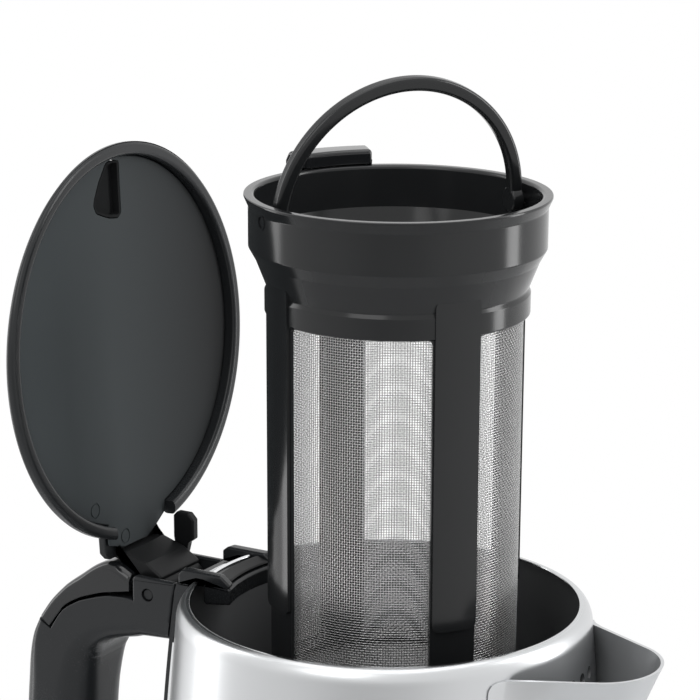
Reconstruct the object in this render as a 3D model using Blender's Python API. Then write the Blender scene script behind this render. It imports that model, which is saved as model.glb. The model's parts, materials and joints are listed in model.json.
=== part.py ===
"""Automatic tea maker: a steel jug on its power base, the lid standing open and the tea filter raised out of it."""

import bpy
import bmesh
from math import radians, degrees, sin, cos, tan, asin, acos, atan2, sqrt, pi
from mathutils import Matrix, Vector

for old in list(bpy.data.objects):
    bpy.data.objects.remove(old, do_unlink=True)

# Sizes in metres. Heights of jug, lid and filter are measured from the rim plane, those of the base from the table.

# Shared by all pieces
GAP = 0.0003            # air between neighbouring pieces
OVERRUN = 0.002         # how far a cutter runs past the face it cuts
BIG_SEGMENTS = 42
SMALL_SEGMENTS = 16

# Jug body
RIM_R = 0.0526          # outer radius of the opening edge
SHOULDER_R = 0.0568
SHOULDER_DROP = 0.0052
BODY_R = 0.0657
BODY_BEND = 3.35        # how fast the side straightens on its way down
STEEL_T = 0.0008
STEEL_BELOW_FLOOR = 0.008
FLOOR_FILLET = 0.006
SKIRT_H = 0.020         # from the jug's underside to its floor

# Filter
FILTER_X = 0.0032       # its axis stands this far toward the spout
RING_TOP = 0.1108
FLANGE_R = 0.0397
FLANGE_T = 0.0031       # from the lip's tip down to the band
RING_INNER_R = 0.0368
LEDGE_RISE = 0.0025     # the inner ledge starts this far above the band's lower edge
BAND_R = 0.0386
BAND_H = 0.0105
BEVEL_R = 0.0368
BEVEL_H = 0.0032
CONE_H = 0.0074
COLLAR_R = 0.0345
COLLAR_H = 0.0053
COLLAR_STEP = 0.0011    # from the cone's end down to the collar's top
FRAME_R = 0.0340
FRAME_T = 0.0010
STRUT_W = 0.0130
STRUT_TURN = radians(-34.2)
STRIP_R = 0.0350        # raised strips along the struts
STRIP_LOW = 0.0028
STRIP_TOP = 0.0900
STRIP_CORNER = 0.0016
FOOT_RING_H = 0.006
FILTER_BELOW = 0.0250   # the raised filter still reaches this far into the jug
FILTER_TRAVEL = 0.160
MESH_T = 0.0004
MESH_BAR = 0.0014       # bars of the plain grid that stands for the woven wire
MESH_ACROSS = 3
MESH_DOWN = 5
TAB_TURN = radians(145.5)
TAB_W = 0.0209
TAB_RISE = 0.0042
TAB_OUT = 0.0063
TAB_DROP = 0.0070
TAB_CHAMFER = 0.0022
BAIL_R = 0.0337         # centre line of the bow
BAIL_T = 0.0036
BAIL_DROP = 0.0046      # pivots below the ring's top
BAIL_LEAN = radians(10)
BAIL_TURN = radians(56.5)
EYE_R = 0.0034
PIVOT_R = 0.0012

# Lid, in its closed place before it is turned open
HINGE_X = -0.0682
HINGE_Z = -0.0071
LID_OPEN = radians(93.5)
LID_R = 0.0547
LID_T = 0.0075
LID_BAND = 0.0032
LID_RECESS = 0.0028
LID_ROUND = 0.0022
PLATE_T = 0.0009
TOP_DISC_R = 0.0440
TOP_DISC_T = 0.0006
NOTCH_HALF = 0.0142
KNUCKLE_R = 0.0044
PIN_R = 0.0016
ARM_HALF = 0.0097
EAR_HALF = 0.0145       # the arm is wider on the near side, beside the plate's end
EAR_FOOT = 0.0088       # the ear and the plate's tongue stop this far from the hinge
TONGUE_FOOT = 0.0113
POCKET_FAR = 0.0488     # the latch pocket, measured from the lid's middle
POCKET_L = 0.0146
POCKET_W = 0.0028
POCKET_DEEP = 0.0026
POCKET_WALL = 0.0007

# Saddle over the rim at the hinge
SADDLE_HALF = 0.0135
SADDLE_BLOCK = 0.0034
SADDLE_INNER_R = 0.0426
SADDLE_OUTER_R = 0.0577
SADDLE_TOP = 0.0025
SADDLE_DEEP = 0.0065
SADDLE_BAR_R = 0.0008

# Handle
HANDLE_HALF = 0.0130
HANDLE_EDGE_IN = 0.0095     # rounding of the grip's edges on the finger side
HANDLE_EDGE_OUT = 0.0060
STRIP_PAST = 0.0028     # the strip runs this far below the grip
STRIP_T = 0.0022
TRIM_T = 0.0007
TRIM_LIP = 0.0008
CHEEK_TOP = 0.0022
CHEEK_T = 0.0022
CHEEK_BOTTOM = 0.0195
POCKET_FLOOR = 0.0140
GRIP_FRONT_X = -0.0737  # where the pocket ends and the button starts
GRIP_OUT_X = -0.1145
GRIP_BOTTOM = 0.1540
BUTTON_T = 0.0066
BUTTON_EDGE = 0.0014
CAP_L = 0.0070
CAP_RISE = 0.0119
CAP_NECK = 0.0033

# Spout
SPOUT_TIP_X = 0.0809
SPOUT_HALF = 0.0260
SPOUT_FLARE = 0.0030
SPOUT_NOSE_R = 0.0165
SPOUT_TOP = 0.0055
SPOUT_H = 0.056
SPOUT_T = 0.0009
SPOUT_END_HALF = 0.0040
SPOUT_END_REACH = 0.0022
SPOUT_END_NOSE = 0.0024
HOLE_R = 0.0017
HOLE_PITCH = 0.0062

# Base
FOOT_H = 0.0030
FOOT_R = 0.0070
FOOT_IN = 0.0150
BASE_R = 0.0810
BASE_SIDE = 0.0085      # height where the slanted band starts
BAND_IN = 0.0130
DECK_Z = 0.0205
BASE_WALL = 0.0020
PLATE_H = 0.0016
SOCKET_R = 0.0167
TOWER_R = 0.0100
TOWER_H = 0.0085
DIAL_R = 0.0060
DIAL_H = 0.0032
DIAL_SHAFT_R = 0.0022
DIAL_SHAFT_L = 0.0060
KEY_R = 0.0034
KEY_OUT = 0.0016
KEY_IN = 0.0034
KEY_STEP = radians(13)
BOARD_T = 0.0014
DISPLAY_W = 0.0200
DISPLAY_H = 0.0075
DISPLAY_T = 0.0008

JUG_DEPTH = FILTER_BELOW + FILTER_TRAVEL + GAP
JUG_BOTTOM = DECK_Z + GAP
RIM_Z = JUG_BOTTOM + SKIRT_H + STEEL_T + JUG_DEPTH
BODY_H = JUG_DEPTH + STEEL_BELOW_FLOOR
AXIS_X = (-GRIP_OUT_X - SPOUT_TIP_X) / 2


def jug_radius(z):
    """Outer radius of the steel at a height below the rim."""
    down = -z
    if down < SHOULDER_DROP:
        lean = acos(max(-1, 1 - down / SHOULDER_DROP))
        return RIM_R + (SHOULDER_R - RIM_R) * sin(lean)
    share = min(1, (down - SHOULDER_DROP) / (BODY_H - SHOULDER_DROP))
    return BODY_R - (BODY_R - SHOULDER_R) * (1 - share) ** BODY_BEND


MATERIALS = {
    "steel": ((0.62, 0.63, 0.64), 1.0, 0.28),
    "chrome": ((0.80, 0.81, 0.82), 1.0, 0.10),
    "wire": ((0.66, 0.67, 0.68), 1.0, 0.35),
    "aluminium": ((0.70, 0.71, 0.72), 1.0, 0.45),
    "brass": ((0.75, 0.58, 0.30), 1.0, 0.35),
    "black_satin": ((0.035, 0.037, 0.039), 0.0, 0.42),
    "black_gloss": ((0.022, 0.023, 0.025), 0.0, 0.14),
    "black_matte": ((0.030, 0.031, 0.032), 0.0, 0.60),
    "rubber": ((0.025, 0.025, 0.026), 0.0, 0.80),
    "glass": ((0.02, 0.025, 0.03), 0.0, 0.05),
    "board": ((0.03, 0.16, 0.08), 0.0, 0.50),
    "ceramic": ((0.75, 0.74, 0.70), 0.0, 0.55),
}
SHARP = radians(38)


def material(name, slot):
    colour, metallic, roughness = MATERIALS[slot]
    made = bpy.data.materials.new(name + "_" + slot)
    made.use_nodes = True
    shader = made.node_tree.nodes["Principled BSDF"]
    shader.inputs["Base Color"].default_value = (*colour, 1)
    shader.inputs["Metallic"].default_value = metallic
    shader.inputs["Roughness"].default_value = roughness
    return made


def make(name, body, slot, height=RIM_Z, turn=None, origin=None):
    """One object from (vertices, faces): the vertices are turned, lifted to their height and set on the jug's axis."""
    verts, faces = body
    mesh = bpy.data.meshes.new(name)
    place = Matrix.Translation((AXIS_X, 0, height))
    if turn is not None:
        place = place @ turn
    points = [place @ Vector(v) for v in verts]
    middle = Vector(origin) + Vector((AXIS_X, 0, height)) if origin else Vector((0, 0, 0))
    mesh.from_pydata([p - middle for p in points], [], faces)
    work = bmesh.new()
    work.from_mesh(mesh)
    bmesh.ops.recalc_face_normals(work, faces=work.faces)
    work.to_mesh(mesh)
    work.free()
    mesh.materials.append(material(name, slot))
    mesh.shade_smooth()
    mesh.set_sharp_from_angle(angle=SHARP)
    thing = bpy.data.objects.new(name, mesh)
    thing.location = middle
    bpy.context.collection.objects.link(thing)
    return thing


def combine(thing, tools, operation):
    """Cut the tools out of a thing, or join them to it, and take the tools away."""
    for tool in tools:
        step = thing.modifiers.new("combine", "BOOLEAN")
        step.operation = operation
        step.solver = "EXACT"
        step.object = tool
    bpy.context.view_layer.update()
    view = bpy.context.evaluated_depsgraph_get()
    made = bpy.data.meshes.new_from_object(thing.evaluated_get(view))
    slots = list(thing.data.materials)
    thing.modifiers.clear()
    made.materials.clear()
    made.materials.append(slots[0])
    thing.data = made
    made.shade_smooth()
    made.set_sharp_from_angle(angle=SHARP)
    for tool in tools:
        bpy.data.objects.remove(tool, do_unlink=True)
    return thing


def revolve(profile, segments=BIG_SEGMENTS, centre=0.0):
    """A closed (radius, height) outline turned about the upright axis through x = centre."""
    verts = []
    columns = []
    for r, z in profile:
        if r <= 0:
            verts.append((centre, 0, z))
            columns.append([len(verts) - 1] * segments)
        else:
            first = len(verts)
            for i in range(segments):
                a = 2 * pi * i / segments
                verts.append((centre + r * cos(a), r * sin(a), z))
            columns.append(list(range(first, first + segments)))
    faces = []
    for k in range(len(profile)):
        low, high = columns[k], columns[(k + 1) % len(profile)]
        for i in range(segments):
            j = (i + 1) % segments
            corners = [low[i], low[j], high[j], high[i]]
            face = [c for n, c in enumerate(corners) if c not in corners[:n]]
            if len(face) > 2:
                faces.append(face)
    return verts, faces


def loft(rings):
    """Closed rings of points joined in order, with both ends capped."""
    count = len(rings[0])
    verts = [p for ring in rings for p in ring]
    faces = []
    for k in range(len(rings) - 1):
        for i in range(count):
            j = (i + 1) % count
            a, b = k * count, (k + 1) * count
            faces.append([a + i, a + j, b + j, b + i])
    faces.append(list(range(count))[::-1])
    faces.append([(len(rings) - 1) * count + i for i in range(count)])
    return verts, faces


def across(outline, low, high, edge=0.0):
    """An outline in the x and z plane, carried from y = low to y = high, its ends drawn in by the edge."""
    mx = sum(x for x, z in outline) / len(outline)
    mz = sum(z for x, z in outline) / len(outline)
    rings = []
    if edge:
        spread = max(sqrt((x - mx) ** 2 + (z - mz) ** 2) for x, z in outline)
        shrink = 1 - edge / spread
        inner = [(mx + (x - mx) * shrink, mz + (z - mz) * shrink) for x, z in outline]
        rings = [(low, inner), (low + edge, outline), (high - edge, outline), (high, inner)]
    else:
        rings = [(low, outline), (high, outline)]
    return loft([[(x, y, z) for x, z in shape] for y, shape in rings])


def upright(outline, low, high, edge=0.0):
    """An outline in the x and y plane, carried from z = low to z = high."""
    verts, faces = across(outline, low, high, edge)
    return [(x, z, y) for x, y, z in verts], faces


def round_outline(radius, segments=SMALL_SEGMENTS, cx=0.0, cy=0.0):
    return [(cx + radius * cos(2 * pi * i / segments), cy + radius * sin(2 * pi * i / segments))
            for i in range(segments)]


def box_outline(half_x, half_y, corner):
    """A rectangle with cut corners."""
    pts = []
    for sx, sy in ((1, 1), (-1, 1), (-1, -1), (1, -1)):
        pair = [(sx * half_x, sy * (half_y - corner)), (sx * (half_x - corner), sy * half_y)]
        pts += pair if sx * sy > 0 else pair[::-1]
    return pts


def shell_of_cells(angles, levels, solid, centre):
    """A ring built of cells between angles and levels; a level is its outer and its inner (radius, height)."""
    n, m = len(angles), len(levels)
    verts = []
    for a in angles:
        for outer, inner in levels:
            for r, z in (outer, inner):
                verts.append((centre + r * cos(a), r * sin(a), z))

    def at(i, j, side):
        return ((i % n) * m + j) * 2 + side

    faces = []
    for i in range(n):
        for j in range(m - 1):
            if not solid(i, j):
                continue
            faces.append([at(i, j, 0), at(i + 1, j, 0), at(i + 1, j + 1, 0), at(i, j + 1, 0)])
            faces.append([at(i, j, 1), at(i, j + 1, 1), at(i + 1, j + 1, 1), at(i + 1, j, 1)])
            if j == 0 or not solid(i, j - 1):
                faces.append([at(i, j, 0), at(i, j, 1), at(i + 1, j, 1), at(i + 1, j, 0)])
            if j == m - 2 or not solid(i, j + 1):
                faces.append([at(i, j + 1, 0), at(i + 1, j + 1, 0), at(i + 1, j + 1, 1), at(i, j + 1, 1)])
            if not solid((i - 1) % n, j):
                faces.append([at(i, j, 0), at(i, j + 1, 0), at(i, j + 1, 1), at(i, j, 1)])
            if not solid((i + 1) % n, j):
                faces.append([at(i + 1, j, 0), at(i + 1, j, 1), at(i + 1, j + 1, 1), at(i + 1, j + 1, 0)])
    used = sorted({v for f in faces for v in f})
    index = {v: k for k, v in enumerate(used)}
    return [verts[v] for v in used], [[index[v] for v in f] for f in faces]


# Jug body: wall, rim and floor turned in one piece
WALL_STEPS = 8
SHOULDER_STEPS = 5
outer_wall = []
for k in range(SHOULDER_STEPS):
    lean = pi / 2 * k / SHOULDER_STEPS
    outer_wall.append((RIM_R + (SHOULDER_R - RIM_R) * sin(lean), -SHOULDER_DROP * (1 - cos(lean))))
for k in range(WALL_STEPS + 1):
    down = SHOULDER_DROP + (BODY_H - SHOULDER_DROP) * (k / WALL_STEPS) ** 1.5
    outer_wall.append((jug_radius(-down), -down))
inner_wall = []
for r, z in outer_wall[1:2] + outer_wall[3:]:
    if z > -JUG_DEPTH + FLOOR_FILLET:
        inner_wall.append((r - STEEL_T, z - STEEL_T / 2))
floor_r = jug_radius(-JUG_DEPTH) - STEEL_T
profile = [(0, -JUG_DEPTH)]
for k in range(4):
    a = pi / 2 * k / 3
    profile.append((floor_r - FLOOR_FILLET * (1 - sin(a)), -JUG_DEPTH + FLOOR_FILLET * (1 - cos(a))))
profile += inner_wall[::-1]
profile.append((RIM_R - STEEL_T, 0))
profile += outer_wall
profile.append((floor_r, -BODY_H))
profile.append((floor_r, -JUG_DEPTH - STEEL_T))
profile.append((0, -JUG_DEPTH - STEEL_T))
jug = make("jug_body", revolve(profile), "steel")

# Strainer holes in the wall behind the spout
HOLE_ROWS = 3
holes = []
for row in range(HOLE_ROWS):
    z = -SPOUT_TOP - HOLE_PITCH * (row + 1.4)
    count = 5 - row % 2
    for k in range(count):
        turn = (k - (count - 1) / 2) * HOLE_PITCH / jug_radius(z)
        body = upright(round_outline(HOLE_R, 6), 0, 2 * OVERRUN)
        place = Matrix.Rotation(turn, 4, "Z") @ Matrix.Translation((jug_radius(z) - OVERRUN, 0, z))
        holes.append(make("hole", body, "steel", turn=place @ Matrix.Rotation(pi / 2, 4, "Y")))
combine(jug, holes, "DIFFERENCE")


# Spout: a beak of sheet steel, its ends shaped to the jug's wall
def beak(z, half, reach, nose, extra):
    """Points from the near end around the nose to the far end, at one height."""
    wall = jug_radius(z) + GAP
    half, reach, nose = half + extra, reach + extra, nose + extra
    start = sqrt(wall ** 2 - half ** 2)
    middle = reach - nose
    span = sqrt((middle - start) ** 2 + half ** 2)
    slope = atan2(-half, middle - start) + asin(min(0.999, nose / span))
    length = sqrt(max(0, span ** 2 - nose ** 2))
    normal = slope + pi / 2
    side = [(start + length * share * cos(slope), half + length * share * sin(slope))
            for share in (0, 0.5)]
    arc = [(middle + nose * cos(normal * (1 - 2 * k / 8)), nose * sin(normal * (1 - 2 * k / 8)))
           for k in range(9)]
    return side + arc + [(x, -y) for x, y in side[::-1]]


SPOUT_STEPS = 9
rings = []
for k in range(SPOUT_STEPS + 1):
    share = k / SPOUT_STEPS
    z = -SPOUT_TOP - SPOUT_H * share
    wide = SPOUT_HALF + SPOUT_FLARE * sin(min(1, share * 5) * pi / 2)
    half = SPOUT_END_HALF + (wide - SPOUT_END_HALF) * (1 - share ** 1.6)
    tip = SPOUT_TIP_X - SPOUT_T
    reach = jug_radius(z) + SPOUT_END_REACH
    reach += (tip - reach) * (1 - share) ** 1.15
    nose = SPOUT_END_NOSE + (SPOUT_NOSE_R - SPOUT_END_NOSE) * (1 - share)
    outer = beak(z, half, reach, nose, SPOUT_T)
    inner = beak(z, half, reach, nose, 0)
    rings.append([(x, y, z) for x, y in outer] + [(x, y, z) for x, y in inner[::-1]])
make("spout", loft(rings), "steel")

# Skirt under the jug, heater and connector
steel_bottom = RIM_Z - BODY_H
skirt = [(BODY_R, steel_bottom - GAP), (BODY_R, JUG_BOTTOM + LID_ROUND), (BODY_R - LID_ROUND, JUG_BOTTOM)]
skirt += [(BODY_R - LID_ROUND * 2, JUG_BOTTOM), (BODY_R - LID_ROUND * 2, JUG_BOTTOM + BASE_WALL)]
skirt += [(TOWER_R + BASE_WALL * 2 + GAP, JUG_BOTTOM + BASE_WALL)]
skirt += [(TOWER_R + BASE_WALL * 2 + GAP, JUG_BOTTOM + BASE_WALL * 2)]
skirt += [(BODY_R - LID_ROUND * 2, JUG_BOTTOM + BASE_WALL * 2), (BODY_R - LID_ROUND * 2, steel_bottom - GAP)]
make("jug_skirt", revolve(skirt), "black_satin", height=0)

floor_under = RIM_Z - JUG_DEPTH - STEEL_T
heater_r = BODY_R * 0.76
heater_t = BASE_WALL * 1.5
heater = [(0, floor_under - GAP), (heater_r, floor_under - GAP), (heater_r, floor_under - GAP - heater_t)]
heater += [(0, floor_under - GAP - heater_t)]
make("heater_plate", revolve(heater, 24), "aluminium", height=0)

ring_r = heater_r * 0.78
ring_t = BASE_WALL * 1.2
ring_z = floor_under - GAP * 2 - heater_t - ring_t
tube = [(ring_r + ring_t * cos(2 * pi * k / 6), ring_z + ring_t * sin(2 * pi * k / 6)) for k in range(6)]
make("heating_ring", revolve(tube, 24), "steel", height=0)

cup_in = TOWER_R + GAP * 2
cup_out = TOWER_R + BASE_WALL * 2
cup_top = DECK_Z + TOWER_H + GAP
cup = [(0, cup_top), (cup_in, cup_top), (cup_in, JUG_BOTTOM + BASE_WALL * 0.5)]
cup += [(cup_out, JUG_BOTTOM + BASE_WALL * 0.5), (cup_out, cup_top + BASE_WALL), (0, cup_top + BASE_WALL)]
make("jug_connector", revolve(cup, 24), "black_matte", height=0)

sensor_r = BASE_WALL * 1.6
sensor_z = ring_z - ring_t
probe = [(0, floor_under - GAP * 2 - heater_t), (sensor_r, floor_under - GAP * 2 - heater_t)]
probe += [(sensor_r, sensor_z), (0, sensor_z)]
make("sensor_block", revolve(probe, 12, centre=heater_r * 0.42), "ceramic", height=0)


# Handle: strip against the jug, bright trim behind it, grip, hinge housing and release button
def wall_heights(low, high):
    """Heights of the wall's own rows between two heights, so that a piece laid on it bends where it bends."""
    return [low] + sorted(z for r, z in outer_wall if low < z < high) + [high]


def strip_piece(low, high, half, back, front):
    """A strip down the jug's back wall: its back follows the wall, its front stays flat."""
    rings = []
    for z in wall_heights(low, high):
        wall = jug_radius(z) + back
        ring = [(-front(z), half, z), (-front(z), -half, z)]
        for share in (-1, -0.5, 0, 0.5, 1):
            y = half * share
            ring.append((-sqrt(wall ** 2 - y ** 2), y, z))
        rings.append(ring)
    return loft(rings)


def strip_face(z):
    """Distance from the jug's axis to the strip's flat front."""
    return jug_radius(z) + STRIP_T


strip_bottom = -GRIP_BOTTOM - STRIP_PAST
trim_rings = []
for z in wall_heights(strip_bottom, -CHEEK_TOP):
    wall = jug_radius(z) + GAP
    reach = asin((HANDLE_HALF + TRIM_LIP) / wall)
    angles = [pi - reach + 2 * reach * i / 6 for i in range(7)]
    ring = [((wall + TRIM_T) * cos(a), (wall + TRIM_T) * sin(a), z) for a in angles]
    ring += [(wall * cos(a), wall * sin(a), z) for a in angles[::-1]]
    trim_rings.append(ring)
make("handle_trim", loft(trim_rings), "chrome")
make("handle_strip", strip_piece(strip_bottom, -CHEEK_TOP, HANDLE_HALF, GAP * 2 + TRIM_T, strip_face),
     "black_satin")


def grip_section(inner, outer, edge_in, edge_out):
    """A rounded box between an inner and an outer point of the handle's side view."""
    (xi, zi), (xo, zo) = inner, outer
    length = sqrt((xo - xi) ** 2 + (zo - zi) ** 2)
    ux, uz = (xo - xi) / length, (zo - zi) / length
    edge_in, edge_out = min(edge_in, length * 0.62), min(edge_out, length * 0.34)
    ring = []
    for side, outside, edge in ((-1, 0, edge_in), (-1, 1, edge_out), (1, 1, edge_out), (1, 0, edge_in)):
        corner = []
        for k in range(CORNER_STEPS + 1):
            a = pi / 2 * k / CORNER_STEPS
            depth, back = edge * (1 - sin(a)), edge * (1 - cos(a))
            corner.append((length - depth if outside else depth, side * (HANDLE_HALF - back)))
        ring += corner if (side < 0) == (outside == 1) else corner[::-1]
    return [(xi + ux * d, y, zi + uz * d) for d, y in ring]


# Side view of the grip from the hinge pocket round to the lower end: inner and outer points as shares of its reach
# and drop, then the shares of the inner and outer edges' rounding
GRIP_SHARES = (
    ((0.6148, 0.1325), (0.6148, 0.0909), (0.45, 0.10)),
    ((0.6507, 0.1403), (0.6445, 0.0643), (0.50, 0.10)),
    ((0.6900, 0.1474), (0.7013, 0.0623), (0.52, 0.10)),
    ((0.7223, 0.1552), (0.7362, 0.0675), (0.55, 0.10)),
    ((0.7476, 0.1656), (0.7712, 0.0760), (0.60, 0.10)),
    ((0.7642, 0.1773), (0.8061, 0.0864), (0.68, 0.10)),
    ((0.7755, 0.1903), (0.8515, 0.1091), (0.76, 0.10)),
    ((0.7825, 0.2026), (0.8900, 0.1487), (0.82, 0.12)),
    ((0.7852, 0.2078), (0.9258, 0.1338), (0.84, 0.20)),
    ((0.7904, 0.2247), (0.9511, 0.1682), (0.88, 0.45)),
    ((0.7965, 0.2532), (0.9703, 0.2091), (0.95, 0.80)),
    ((0.8017, 0.2857), (0.9834, 0.2610), (1.00, 1.00)),
    ((0.8087, 0.3377), (0.9904, 0.3247), (1.00, 1.00)),
    ((0.8175, 0.4286), (0.9948, 0.4286), (1.00, 1.00)),
    ((0.8236, 0.5519), (1.0000, 0.5844), (1.00, 1.00)),
    ((0.8262, 0.6688), (1.0000, 0.7013), (1.00, 1.00)),
    ((0.8201, 0.7662), (0.9869, 0.8084), (1.00, 1.00)),
    ((0.7948, 0.8409), (0.9502, 0.8994), (0.95, 1.00)),
    ((0.7380, 0.8851), (0.8646, 0.9649), (0.85, 1.00)),
    ((0.6681, 0.9000), (0.7424, 0.9961), (0.75, 0.90)),
)
CORNER_STEPS = 3
CHEEK_SHARE = 0.78
END_SHARE = 0.9026
first_share, last_share = GRIP_SHARES[0][2], GRIP_SHARES[-1][2]
stations = [((-strip_face(-CHEEK_BOTTOM) - GAP, -CHEEK_BOTTOM), (-strip_face(-POCKET_FLOOR) - GAP, -POCKET_FLOOR),
             first_share)]
for (xi, zi), (xo, zo), edges in GRIP_SHARES:
    stations.append(((GRIP_OUT_X * xi, -GRIP_BOTTOM * zi), (GRIP_OUT_X * xo, -GRIP_BOTTOM * zo), edges))
end_z = -GRIP_BOTTOM * END_SHARE
stations.append(((-strip_face(end_z) - GAP, end_z), (-strip_face(-GRIP_BOTTOM) - GAP, -GRIP_BOTTOM), last_share))
sections = [grip_section(a, b, HANDLE_EDGE_IN * u, HANDLE_EDGE_OUT * v) for a, b, (u, v) in stations]
grip = make("handle_grip", loft(sections), "black_satin")

cheek_z = -CHEEK_BOTTOM * CHEEK_SHARE
cheek = [(GRIP_FRONT_X + CHEEK_T / 6, -CHEEK_TOP - CHEEK_T / 2), (GRIP_FRONT_X + CHEEK_T / 2, -CHEEK_TOP)]
cheek += [(-strip_face(-CHEEK_TOP * share) - GAP, -CHEEK_TOP * share) for share in (1, 3)]
cheek += [(-strip_face(cheek_z) - GAP, cheek_z), (GRIP_FRONT_X + CHEEK_T / 6, cheek_z)]
cheek_out = HANDLE_HALF - GAP / 3
cheeks = [make("cheek", across(cheek, cheek_out - CHEEK_T, cheek_out), "black_satin")]
cheeks.append(make("cheek", across(cheek, -cheek_out, CHEEK_T - cheek_out), "black_satin"))
combine(grip, cheeks, "UNION")


def crosswise(radius, low, high, segments, x, z):
    """A round bar along the hinge's direction."""
    return across([(x + u, z + v) for u, v in round_outline(radius, segments)], low, high)


pin_hole = crosswise(PIN_R + GAP, -HANDLE_HALF - OVERRUN, HANDLE_HALF + OVERRUN, 12, HINGE_X, HINGE_Z)
combine(grip, [make("hole", pin_hole, "steel")], "DIFFERENCE")
make("hinge_pin", crosswise(PIN_R, GAP - HANDLE_HALF, HANDLE_HALF - GAP, 16, HINGE_X, HINGE_Z), "black_matte")

# Release button: a curved cap along the top of the grip, turning about its outer end
BUTTON_TOP_SHARES = ((0.6487, 0.0200), (0.6521, 0.0150), (0.6865, 0.0026), (0.7188, 0.0),
                     (0.7555, 0.0117), (0.7974, 0.0338), (0.8341, 0.0539), (0.8541, 0.0669),
                     (0.8904, 0.0958), (0.9205, 0.1273))
BUTTON_LOW_SHARES = ((0.8917, 0.1442), (0.8611, 0.1143), (0.8428, 0.0981), (0.8061, 0.0805),
                     (0.7712, 0.0698), (0.7362, 0.0607), (0.7013, 0.0545), (0.6498, 0.0468))
button = [(GRIP_OUT_X * x, -GRIP_BOTTOM * z) for x, z in BUTTON_TOP_SHARES + BUTTON_LOW_SHARES]
BUTTON_PIVOT_SHARE = (0.8987, 0.1299)
button_pivot = (GRIP_OUT_X * BUTTON_PIVOT_SHARE[0], 0, -GRIP_BOTTOM * BUTTON_PIVOT_SHARE[1])
make("release_button", across(button, -HANDLE_HALF, HANDLE_HALF, BUTTON_EDGE), "black_gloss",
     origin=button_pivot)

# Cap over the far end of the hinge
cap_x = GRIP_FRONT_X + BUTTON_T / 8
cap_low = GAP - CHEEK_TOP
cap_top = cap_low + CAP_RISE
cut = CAP_L / 4
neck_top = cap_low + CAP_NECK
cap = [(cap_x + GAP, cap_low), (cap_x + GAP, neck_top), (cap_x, neck_top + cut * 2 / 3), (cap_x, cap_top - cut)]
cap += [(cap_x + cut, cap_top), (cap_x + CAP_L - cut, cap_top), (cap_x + CAP_L, cap_top - cut)]
cap += [(cap_x + CAP_L, neck_top + cut * 2 / 3), (cap_x + CAP_L - cut, neck_top), (cap_x + CAP_L - cut, cap_low)]
make("hinge_cap", across(cap, ARM_HALF + GAP * 2, HANDLE_HALF, GAP * 2), "black_satin")

# Saddle that hooks over the rim at the hinge side
def sector(outline, low, high, steps, name, slot):
    """A (radius, height) outline carried sideways along the rim from y = low to y = high."""
    rings = []
    for k in range(steps + 1):
        y = low + (high - low) * k / steps
        rings.append([(-sqrt(r ** 2 - y ** 2), y, z) for r, z in outline])
    return make(name, loft(rings), slot)


inside_r = RIM_R - STEEL_T - GAP * 2
saddle_low = [(inside_r, -SADDLE_TOP / 8), (inside_r, -SADDLE_DEEP), (SADDLE_INNER_R, -SADDLE_DEEP * 0.8)]
saddle_low += [(SADDLE_INNER_R, -SADDLE_TOP / 4), (SADDLE_INNER_R + SADDLE_TOP / 4, -SADDLE_TOP / 8)]
saddle = sector(saddle_low, -SADDLE_HALF, SADDLE_HALF, 8, "lid_saddle", "black_satin")
slope_r = SADDLE_INNER_R + SADDLE_TOP * 1.25
block = [(inside_r, -SADDLE_TOP / 2), (SADDLE_INNER_R + SADDLE_TOP / 3, -SADDLE_TOP / 2)]
block += [(SADDLE_INNER_R + SADDLE_TOP / 10, SADDLE_TOP * 0.1), (slope_r, SADDLE_TOP)]
block += [(SADDLE_OUTER_R - SADDLE_TOP / 2, SADDLE_TOP), (SADDLE_OUTER_R, SADDLE_TOP * 0.6)]
block += [(SADDLE_OUTER_R, -SADDLE_TOP * 0.7), (SHOULDER_R, -SADDLE_TOP * 0.5), (RIM_R + SADDLE_TOP / 3, GAP)]
block += [(inside_r, GAP)]
blocks = []
for side in (-1, 1):
    ends = sorted((side * (SADDLE_HALF - GAP / 3), side * (SADDLE_HALF - SADDLE_BLOCK)))
    blocks.append(sector(block, ends[0], ends[1], 2, "block", "black_satin"))
combine(saddle, blocks, "UNION")
face_half = SADDLE_HALF - SADDLE_BLOCK - GAP
face = [(SADDLE_INNER_R + SADDLE_TOP / 3, GAP), (SADDLE_INNER_R + SADDLE_TOP * 0.6, SADDLE_TOP * 0.3)]
face += [(slope_r + SADDLE_TOP * 0.7, SADDLE_TOP * 0.75), (slope_r + SADDLE_TOP * 0.7, GAP)]
sector(face, -face_half, face_half, 6, "saddle_face", "black_gloss")
bar_r = inside_r - SADDLE_BAR_R * 1.5
bar = [(bar_r + u, GAP + SADDLE_BAR_R + v) for u, v in round_outline(SADDLE_BAR_R, 10)]
sector(bar, -face_half, face_half, 6, "saddle_bar", "chrome")

# Lid: built closed, then turned open about the hinge
hinge = (HINGE_X, 0, HINGE_Z)
opened = Matrix.Translation(hinge) @ Matrix.Rotation(-LID_OPEN, 4, "Y") @ Matrix.Translation(hinge).inverted()


def lid_piece(name, body, slot):
    return make(name, body, slot, turn=opened, origin=hinge)


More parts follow.
